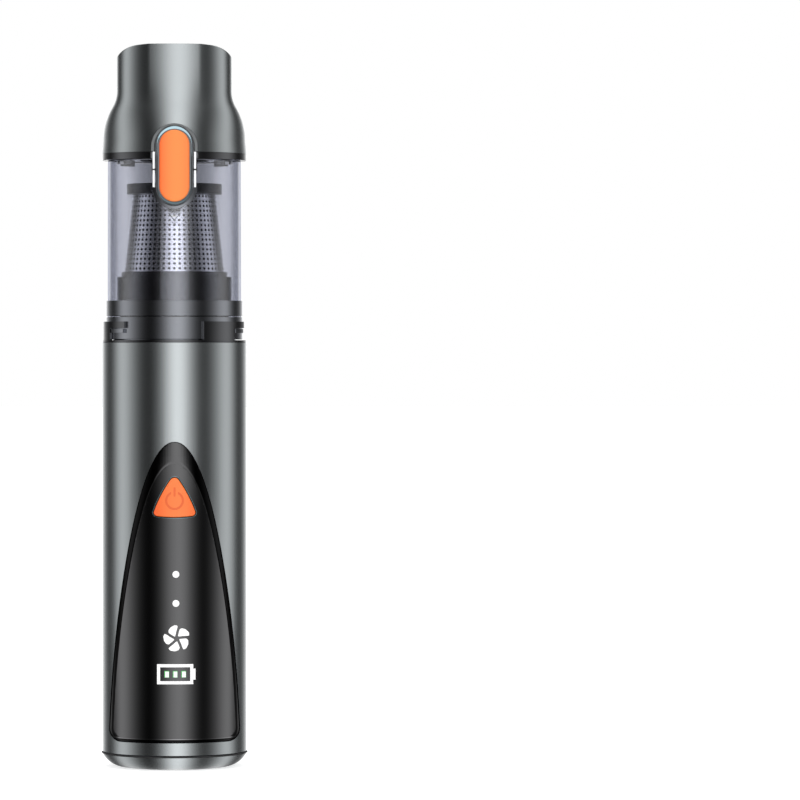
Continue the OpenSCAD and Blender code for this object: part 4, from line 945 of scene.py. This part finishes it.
def make_skirt(low, step):
    """Two rings round the cup's foot, with the lugs that go under the hooks."""
    seam, gap, inside = low + 10.2, 0.45, 30.62
    parts = []
    for bottom, top in ((low, seam), (seam + gap, step)):
        corners = [(inside, bottom), (SPIGOT_R, bottom), (SPIGOT_R, top), (inside, top)]
        parts.append(turned("skirt", eased(corners, [0, 0.2, 0.2, 0])))
    lug_low, lug_high, lug_turn, sweep = low + 2.9, low + 4.8, -32.5, 17.0
    for turn in (0, 120, 240):
        start = lug_turn + turn
        ring = arc((0, 0), 32.7, start, start + sweep, 10)
        ring += arc((0, 0), 31.0, start + sweep, start, 10)
        lug = prism("lug", ring, "z", lug_low, lug_high)
        soften(lug, 0.2)
        parts.append(lug)
    dressed(joined("cup_skirt", *parts), "graphite_satin", "cup", "black_plastic", angle=35)


def make_guard():
    """Round guard behind the lower half of the latch."""
    radius, top, turn = 10.3, 264.6, LEVER_LOW.z + 9.1
    shape = [(radius, top)] + arc((0, turn), radius, 0, -180, 32) + [(-radius, top)]
    guard = prism("lever_guard", shape, "y", -31.0, -30.0)
    soften(guard, 0.3)
    rolled(guard)
    dressed(guard, "graphite_satin", "cup", "black_plastic")


def make_ears():
    """Ears on both sides of the latch, in two lengths each, painted bright with a glow standing in
    for light gathered in the clear plastic.
    """
    front, near, far = -33.5, 8.85, 9.8
    ears = []
    for side in (-1, 1):
        for bottom, top, back in ((264.7, 272.3, -29.2), (273.0, 280.7, -29.7)):
            shape = [(front, bottom), (back, bottom), (back, top), (front, top)]
            ear = prism("ear", shape, "x", side * near, side * far)
            soften(ear, 0.18)
            ears.append(ear)
    # Painted light: the clear ears are coloured near white and glow.
    dressed(joined("latch_ears", *ears), "bright_clear", "cup", "clear_plastic")


def make_signs():
    """Pointer under the latch with its painted glint, and painted glints on the clips under the
    rim.
    """
    tip = [(-2.9, 253.0), (0, 249.4), (2.9, 253.0), (2.4, 253.1), (0, 250.1), (-2.4, 253.1)]
    glint = [
        (-1.5, 252.2), (-1.0, 251.5), (0, 250.95), (1.0, 251.5), (1.5, 252.2), (1.0, 252.0),
        (0, 251.75), (-1.0, 252.0),
    ]
    strip = 0.5
    # The pointer's glint is a painted highlight: a white shape with a faint glow.
    signs = (("cup_pointer", tip, "graphite_satin"), ("pointer_glint", glint, "pointer_white"))
    for name, points, finish in signs:
        arrow = prism(name, eased(points, 0.1), "y", -30.75, -30.2)
        rolled(arrow, strip)
        dressed(arrow, finish, "cup", "clear_plastic")
    # The small white shapes at the rim are painted highlights on the clips there.
    tab_glints, tab_z, tab_height = [], 276.2, 1.3
    for side in (-1, 1):
        for x, width in ((23.4, 1.7), (25.3, 0.7)):
            shape = eased(block(side * x, tab_z, width, tab_height), 0.25)
            tab = prism("tab", shape, "y", -29.15, -28.7)
            rolled(tab, strip)
            tab_glints.append(tab)
    dressed(joined("rim_tabs", *tab_glints), "pointer_white", "cup", "clear_plastic")


class VACUUM_OT_cup(Piece, bpy.types.Operator):
    """Clear dust cup with its lugs, latch ears and hinge knuckles"""

    bl_idname = "vacuum.cup"
    bl_label = "Dust cup"

    def execute(self, context):
        low = span("dust_cup")[0].z
        rim = span("nose_seal")[0].z - 0.1
        step = span("filter_seal")[1].z + 0.8
        make_wall(low, rim, step)
        make_skirt(low, step)
        make_guard()
        make_ears()
        make_signs()
        softened("hinge_pin", 0.15, "bright_steel", "cup", "steel")
        softened("latch_pin", 0.1, "black_moulding", "cup", "steel")
        return {"FINISHED"}


class VACUUM_OT_filter(Piece, bpy.types.Operator):
    """Filter rings, lipped seal and cap, turned from rounded sections"""

    bl_idname = "vacuum.filter"
    bl_label = "Filter rings"

    def execute(self, context):
        seat, foot = span("filter_base")[0].z, CONE_LOW.z
        low, high = span("filter_seal")
        step, lower, floor = high.z + 0.2, foot - 2.3, seat + 2
        wide, middle, narrow, bore, mouth = 27.0, 26.3, 24.4, 20.0, 12.0
        base = turned("filter_rings", eased([
            (wide, seat), (wide, step), (middle, step + 0.2), (middle, lower), (narrow, lower),
            (narrow, foot), (bore, foot), (bore, floor), (mouth, floor), (mouth, seat),
        ], [0.3, 0.2, 0.1, 0.3, 0.2, 0.3, 0.2, 0, 0.2, 0.2]))
        dressed(base, "ring_satin", "cup", "black_plastic", "filter_base", angle=35)
        inside, lip = 27.06, 28.8
        corners = [(inside, low.z), (lip, low.z), (lip, high.z), (inside, high.z)]
        seal = turned("lip_seal", eased(corners, [0, 0.4, 0.4, 0]))
        dressed(seal, "soft_rubber", "cup", "rubber", "filter_seal", angle=50)
        low, high = span("filter_cap")
        plug, brim, dish, under, dip = 18.2, 21.8, 9.0, low.z + 3, high.z - 0.7
        cap = turned("filter_top", eased([
            (0.0, low.z), (plug, low.z), (plug, under), (brim, under), (brim, high.z),
            (dish, high.z), (dish - 0.8, dip), (0.0, dip),
        ], [0, 0.2, 0, 0.25, 0.4, 0.3, 0.3, 0]))
        dressed(cap, "black_moulding", "cup", "black_plastic", "filter_cap", angle=35)
        return {"FINISHED"}


class VACUUM_OT_cone(Piece, bpy.types.Operator):
    """Perforated steel cone: one holed tile repeated by arrays and wrapped round the axis"""

    bl_idname = "vacuum.cone"
    bl_label = "Steel cone"

    def execute(self, context):
        sizes = context.scene.vacuum_sizes
        rows, columns, hole = sizes.hole_rows, sizes.hole_columns, sizes.hole_radius / MM
        foot, top, margin, thickness = 23.15, 19.05, 0.25, 0.16
        low, high = CONE_LOW.z, CONE_HIGH.z
        rise = (high - low - 2 * margin) / rows
        width = tau * (foot + top) / 2 / columns
        thirds = (-0.5, -1 / 6, 1 / 6, 0.5)
        rim = [(t, -0.5) for t in thirds] + [(0.5, t) for t in thirds[1:]]
        rim += [(-t, 0.5) for t in thirds[1:]] + [(-0.5, -t) for t in thirds[1:3]]
        square = outline("steel_cone", [(width * x, rise * y, 0.0) for x, y in rim], False)
        turns = [radians(225 + 30 * i) for i in range(len(rim))]
        ring = [(hole * cos(a), hole * sin(a), 0.0) for a in turns]
        cone = joined("steel_cone", square, outline("bore", ring, False))
        edit(cone, (bpy.ops.mesh.bridge_edge_loops, {}))
        for repeats, step in ((columns, (width * MM, 0, 0)), (rows, (0, rise * MM, 0))):
            modify(
                cone, "ARRAY", count=repeats, use_relative_offset=False, use_constant_offset=True,
                constant_offset_displace=step, use_merge_vertices=True, merge_threshold=1e-6,
            )
        first, last, close = -0.5 * rise, (rows - 0.5) * rise, 1e-3
        for vertex in cone.data.vertices:
            across, up = vertex.co.x / MM, vertex.co.y / MM
            if abs(up - first) < close:
                up -= margin
            if abs(up - last) < close:
                up += margin
            z = up - first + margin
            r = foot + (top - foot) * z / (high - low)
            a = tau * across / (width * columns) - pi / 2
            vertex.co = Vector((r * cos(a), r * sin(a), low + z)) * MM
        tidy(cone)
        modify(cone, "SOLIDIFY", thickness=thickness * MM, offset=-1.0)
        dressed(cone, "bright_steel", "cup", "steel", "filter_mesh")
        return {"FINISHED"}


class VACUUM_OT_nose(Piece, bpy.types.Operator):
    """Nose cone with its soft flat faces and slanted mouth, and the pieces in it"""

    bl_idname = "vacuum.nose"
    bl_label = "Nose"

    def execute(self, context):
        sizes = context.scene.vacuum_sizes
        oval, edge, bow = sizes.neck_oval, sizes.face_edge / MM, sizes.face_bow / MM
        low, wall, mouth, flare = NOSE_LOW.z, 2.2, 326.0, 0.45
        base_r, neck_r, neck_y, shoulder, neck = 32.6, 26.2, 24.4, 286.5, 309.5
        bulge_x, bulge_r, hollow_x, hollow_r = 2.6, 30.0, 40.73, 14.53
        face_start, face_end, slant_start = 298.0, 322.0, 311.0
        lean, slant = tan(radians(3.5)), tan(radians(10.5))
        turn = shoulder + (neck - shoulder) * bulge_r / (bulge_r + hollow_r)

        def outer(z):
            """Half of the width by height: a bulge that runs into a hollow."""
            if z <= shoulder:
                return base_r + flare * (shoulder - z) / (shoulder - low)
            if z <= turn:
                return bulge_x + sqrt(bulge_r ** 2 - (z - shoulder) ** 2)
            if z < neck:
                return hollow_x - sqrt(hollow_r ** 2 - (neck - z) ** 2)
            return neck_r

        def grown(z, start, end):
            """A smooth step from nothing at the start to one at the end."""
            t = min(max((z - start) / (end - start), 0.0), 1.0)
            return t * t * (3 - 2 * t)

        def depth(x, r, z):
            """Depth of the oval section at a radius, with its gently rounded front face."""
            full = outer(z)
            share = 1 - (1 - oval) * grown(z, shoulder, neck)
            face = grown(z, face_start, face_end)
            front = full
            if z > shoulder:
                front = base_r - (base_r - neck_y) * (base_r - full) / (base_r - neck_r)
            front -= max(z - neck, 0.0) * lean

            def drop(across):
                return share * r * (1 - sqrt(max(1 - (across / r) ** 2, 0.0)))

            flat = drop(edge) - (edge * edge - x * x) / (2 * bow)
            apex = front + face * (drop(edge) - edge * edge / (2 * bow)) - share * (full - r)
            return apex - (drop(x) + face * (flat - drop(x)) if abs(x) < edge else drop(x))

        start, levels = low + 0.3, 80
        heights = [start + (mouth - 0.75 - start) * i / levels for i in range(levels + 1)]
        section = [(base_r + 0.2, low), (base_r + 0.38, low + 0.07)]
        section += [(outer(z), z) for z in heights]
        section += arc((neck_r - 0.6, mouth - 0.6), 0.6, 10, 90, 5)
        section += arc((neck_r - wall + 0.4, mouth - 0.4), 0.4, 90, 170, 4)
        section += [(outer(z) - wall, z) for z in reversed(heights[::2])] + [(base_r - wall, low)]
        nose = turned("nose_shell", section)
        dish, droop, droop_start = 0.0019, 0.028, 17.0
        for vertex in nose.data.vertices:
            x, y, z = vertex.co / MM
            y = copysign(depth(x, hypot(x, y), z), y) if abs(y) > 1e-3 else 0.0
            lift = dish * min(x * x, edge * edge) - droop * max(abs(x) - droop_start, 0.0) ** 2
            z += (lift - y * slant) * grown(z, slant_start, mouth)
            vertex.co = Vector((x, y, z)) * MM
        pocket_width, pocket_top = 21.2, LEVER_HIGH.z + 0.8
        cut(nose, prism("pocket", pill(pocket_width, LEVER_LOW.z, pocket_top), "y", -60, 0))
        dressed(nose, "nose_paint", "nose", "gunmetal", "nose_cone", angle=35)
        middle = pocket_top - pocket_width / 2
        wide, narrow, foot = 10.5, 9.1, low + 0.2
        shape = [(wide, foot)] + arc((0, middle), wide, 0, 180, 32) + [(-wide, foot)]
        shape += [(-narrow, foot)] + arc((0, middle + 0.3), narrow, 180, 0, 32) + [(narrow, foot)]
        rim = prism("pocket_rim", shape, "y", -36.0, -27.0)
        for vertex in rim.data.vertices:
            x, y, z = vertex.co / MM
            if y < -30:
                vertex.co.y = -(depth(x, outer(z), z) + 0.1) * MM
        soften(rim, 0.12)
        dressed(rim, "rim_grey", "nose", "gunmetal")
        band = softened("nose_base", 0.2, "dark_satin", "nose", "black_plastic")
        band_in, band_out, band_grow = 31.5 * MM, 32.8 * MM, 0.4 * MM
        for vertex in band.data.vertices:
            reach = hypot(vertex.co.x, vertex.co.y)
            if band_in < reach < band_out:
                vertex.co.xy *= 1 + band_grow / reach
        softened("nose_seal", 0.2, "soft_rubber", "nose", "rubber")
        softened("inlet_duct", 0.3, "black_moulding", "nose", "black_plastic")
        softened("inlet_flap", 0.2, "soft_rubber", "flap", "rubber")
        return {"FINISHED"}


class VACUUM_OT_latch(Piece, bpy.types.Operator):
    """Latch lever with its stepped rim, bright trim and orange pad"""

    bl_idname = "vacuum.latch"
    bl_label = "Latch"

    def execute(self, context):
        width, front = LEVER_HIGH.x - LEVER_LOW.x - 1.1, -LEVER_LOW.y
        trim_low, trim_high = 0.7, 0.9

        def ring(inset, depth, low=0.0, high=0.0):
            """Loop of the lever, its lower and upper ends drawn in by more than its sides."""
            ends = LEVER_LOW.z + inset + low, LEVER_HIGH.z - inset - high
            return drawn(pill(width - 2 * inset, *ends), front + depth)

        lever = layered("latch_frame", [
            ring(0.0, -1.6), ring(0.0, -0.9), ring(0.08, -0.55), ring(0.3, -0.25),
            ring(0.45, -0.25), ring(0.55, -0.4), ring(0.65, -0.7), ring(1.0, -0.7),
        ])
        dressed(lever, "dark_satin", "latch", "black_plastic", "latch_lever", angle=50)
        loops = [ring(0.5, -0.95), ring(0.5, -0.25), ring(0.6, 0.0), ring(0.72, 0.1)]
        for inset, depth in ((0.85, 0.08), (0.95, -0.05), (1.02, -0.85)):
            loops.append(ring(inset, depth, trim_low, trim_high))
        trim = layered("latch_trim", loops)
        dressed(trim, "blue_trim", "latch", "black_plastic", angle=60)
        wide, top = PAD_HIGH.x - PAD_LOW.x - 0.55, -PAD_LOW.y
        low, high = PAD_LOW.z + 0.2, PAD_HIGH.z - 0.5
        steps = [(0.0, -1.3), (0.0, -0.6), (0.15, -0.28), (0.5, -0.08), (1.0, 0.0), (2.0, 0.0)]
        pad = layered("latch_key", [
            drawn(pill(wide - 2 * inset, low + inset, high - inset), top + depth)
            for inset, depth in steps
        ])
        dressed(pad, "pad_orange", "latch", "orange_plastic", "latch_pad", angle=50)
        return {"FINISHED"}


class VACUUM_OT_inside(Piece, bpy.types.Operator):
    """Finishes of the solids that stay as they are"""

    bl_idname = "vacuum.inside"
    bl_label = "Inner finishes"

    def execute(self, context):
        finishes = {
            "board_green": ("circuit_board", "charge_board"),
            "cell_wrap": ("battery_cells",),
            "filter_cloth": ("filter_core",),
            "white_moulding": ("light_guide", "switch_plunger"),
            "soft_rubber": ("motor_damper", "collar_seal"),
            "black_moulding": (
                "switch_body", "chassis", "battery_tray", "battery_lid", "motor_end_bell",
                "fan_shroud", "intake_guard", "impeller",
            ),
            "bright_steel": (
                "board_screws", "motor_can", "motor_screws", "collar_screws", "motor_shaft",
                "impeller_nut", "latch_spring", "flap_pin",
            ),
        }
        for finish, nodes in finishes.items():
            for node in nodes:
                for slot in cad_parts[node].material_slots:
                    slot.material = coat(finish)
        return {"FINISHED"}


def light_world(scene):
    """White to the eye and through the cup, strips in reflections, a plain fill elsewhere."""
    scene.world = bpy.data.worlds.new("studio")
    studio = Finish("studio", scene.world)
    x, y, _ = studio.parts(studio.node("TexCoord", out="Generated"))
    turn = x.math("ARCTAN2", x, 1.0 - y) * degrees(2)
    past = abs(turn) - 93.0
    front = (turn - 5.0).bell(20.6)
    sides = past.bell(16.7 + 8.3 * past.below(0.0))
    behind = (180.0 - abs(turn)).bell(28.0)
    strips = 2.03 * front + 1.14 * sides + 2.0 * behind
    eye, through, mirrors = [
        studio.node("LightPath", out=kind)
        for kind in ("Is Camera Ray", "Is Transmission Ray", "Glossy Depth")
    ]
    seen, mirrored = (eye + through).clipped(), mirrors.above(0.5)
    light = mirrored * strips + (1.0 - mirrored) * (0.85 + 0.15 * seen)
    sockets = {"Color": (1.0, 1.0, 1.0, 1.0), "Strength": light}
    studio.close(studio.node("Background", None, sockets))


def lay_floor():
    """Matt floor that glows a little to the eye and stays out of reflections."""
    clear()
    bpy.ops.mesh.primitive_plane_add(size=30.0, location=(0, 0, 0))
    floor = bpy.context.object
    floor.name = "floor"
    finish = Finish("pale_floor")
    matt = finish.node("BsdfDiffuse", None, {"Color": (0.85, 0.85, 0.85, 1.0)})
    sockets = {"Color": (1.0, 1.0, 1.0, 1.0), "Strength": 0.6}
    glow = finish.node("Emission", None, sockets)
    path = finish.node("LightPath", out="Is Camera Ray")
    both = finish.node("AddShader", None, {0: matt, 1: glow})
    mixed = finish.node("MixShader", None, {0: path, 1: matt, 2: both})
    floor.data.materials.append(finish.close(mixed))
    floor.visible_glossy = False
    floor.visible_transmission = False


def hang_lamp(name, spot, turn, size, power):
    """A soft box that reflections don't show."""
    clear()
    rotation = [radians(a) for a in turn]
    bpy.ops.object.light_add(type="AREA", location=spot, rotation=rotation)
    lamp = bpy.context.object
    lamp.name = name
    lamp.data.shape = "RECTANGLE"
    lamp.data.size, lamp.data.size_y = size
    lamp.data.energy = power
    lamp.visible_glossy = False


def set_camera(scene):
    """Long lens, a little to the left and almost level."""
    clear()
    turn = (radians(90 - 0.544), 0.0, radians(-2.665))
    bpy.ops.object.camera_add(location=(-0.00025, -2.233, 0.18925), rotation=turn)
    camera = bpy.context.object
    camera.name = "view"
    camera.data.lens = 218.55
    camera.data.sensor_width = 36.0
    scene.camera = camera


class VACUUM_OT_stage(bpy.types.Operator):
    """Pale floor, soft light and the camera"""

    bl_idname = "vacuum.stage"
    bl_label = "Stage"

    def execute(self, context):
        scene = context.scene
        scene.view_settings.view_transform = "Standard"
        light_world(scene)
        lay_floor()
        hang_lamp("front_box", (0.0, -2.7, 0.5), (90, 0, 0), (2.5, 2.4), 15.5)
        hang_lamp("top_box", (0.0, -0.5, 2.4), (12, 0, 0), (2.0, 1.6), 11.5)
        set_camera(scene)
        return {"FINISHED"}


STEPS = (
    VACUUM_OT_body, VACUUM_OT_base, VACUUM_OT_panel, VACUUM_OT_button, VACUUM_OT_marks,
    VACUUM_OT_collar, VACUUM_OT_cup, VACUUM_OT_filter, VACUUM_OT_cone, VACUUM_OT_nose,
    VACUUM_OT_latch, VACUUM_OT_inside, VACUUM_OT_stage,
)


class VACUUM_PT_sidebar(bpy.types.Panel):
    """Lists the steps and the sizes"""

    bl_idname = "VACUUM_PT_sidebar"
    bl_label = "Vacuum"
    bl_space_type = "VIEW_3D"
    bl_region_type = "UI"
    bl_category = "Vacuum"

    def draw(self, context):
        for group in (context.scene.vacuum_sizes, context.scene.vacuum_colours):
            for name in group.__annotations__:
                self.layout.prop(group, name)
        for step in STEPS:
            self.layout.operator(step.bl_idname)


CLASSES = (VacuumSizes, VacuumColours, *STEPS, VACUUM_PT_sidebar)


def register():
    for item in CLASSES:
        bpy.utils.register_class(item)
    bpy.types.Scene.vacuum_sizes = PointerProperty(type=VacuumSizes)
    bpy.types.Scene.vacuum_colours = PointerProperty(type=VacuumColours)


def unregister():
    del bpy.types.Scene.vacuum_colours
    del bpy.types.Scene.vacuum_sizes
    for item in reversed(CLASSES):
        bpy.utils.unregister_class(item)


def main():
    register()
    for step in STEPS:
        group, name = step.bl_idname.split(".")
        getattr(getattr(bpy.ops, group), name)()


if __name__ == "__main__":
    main()
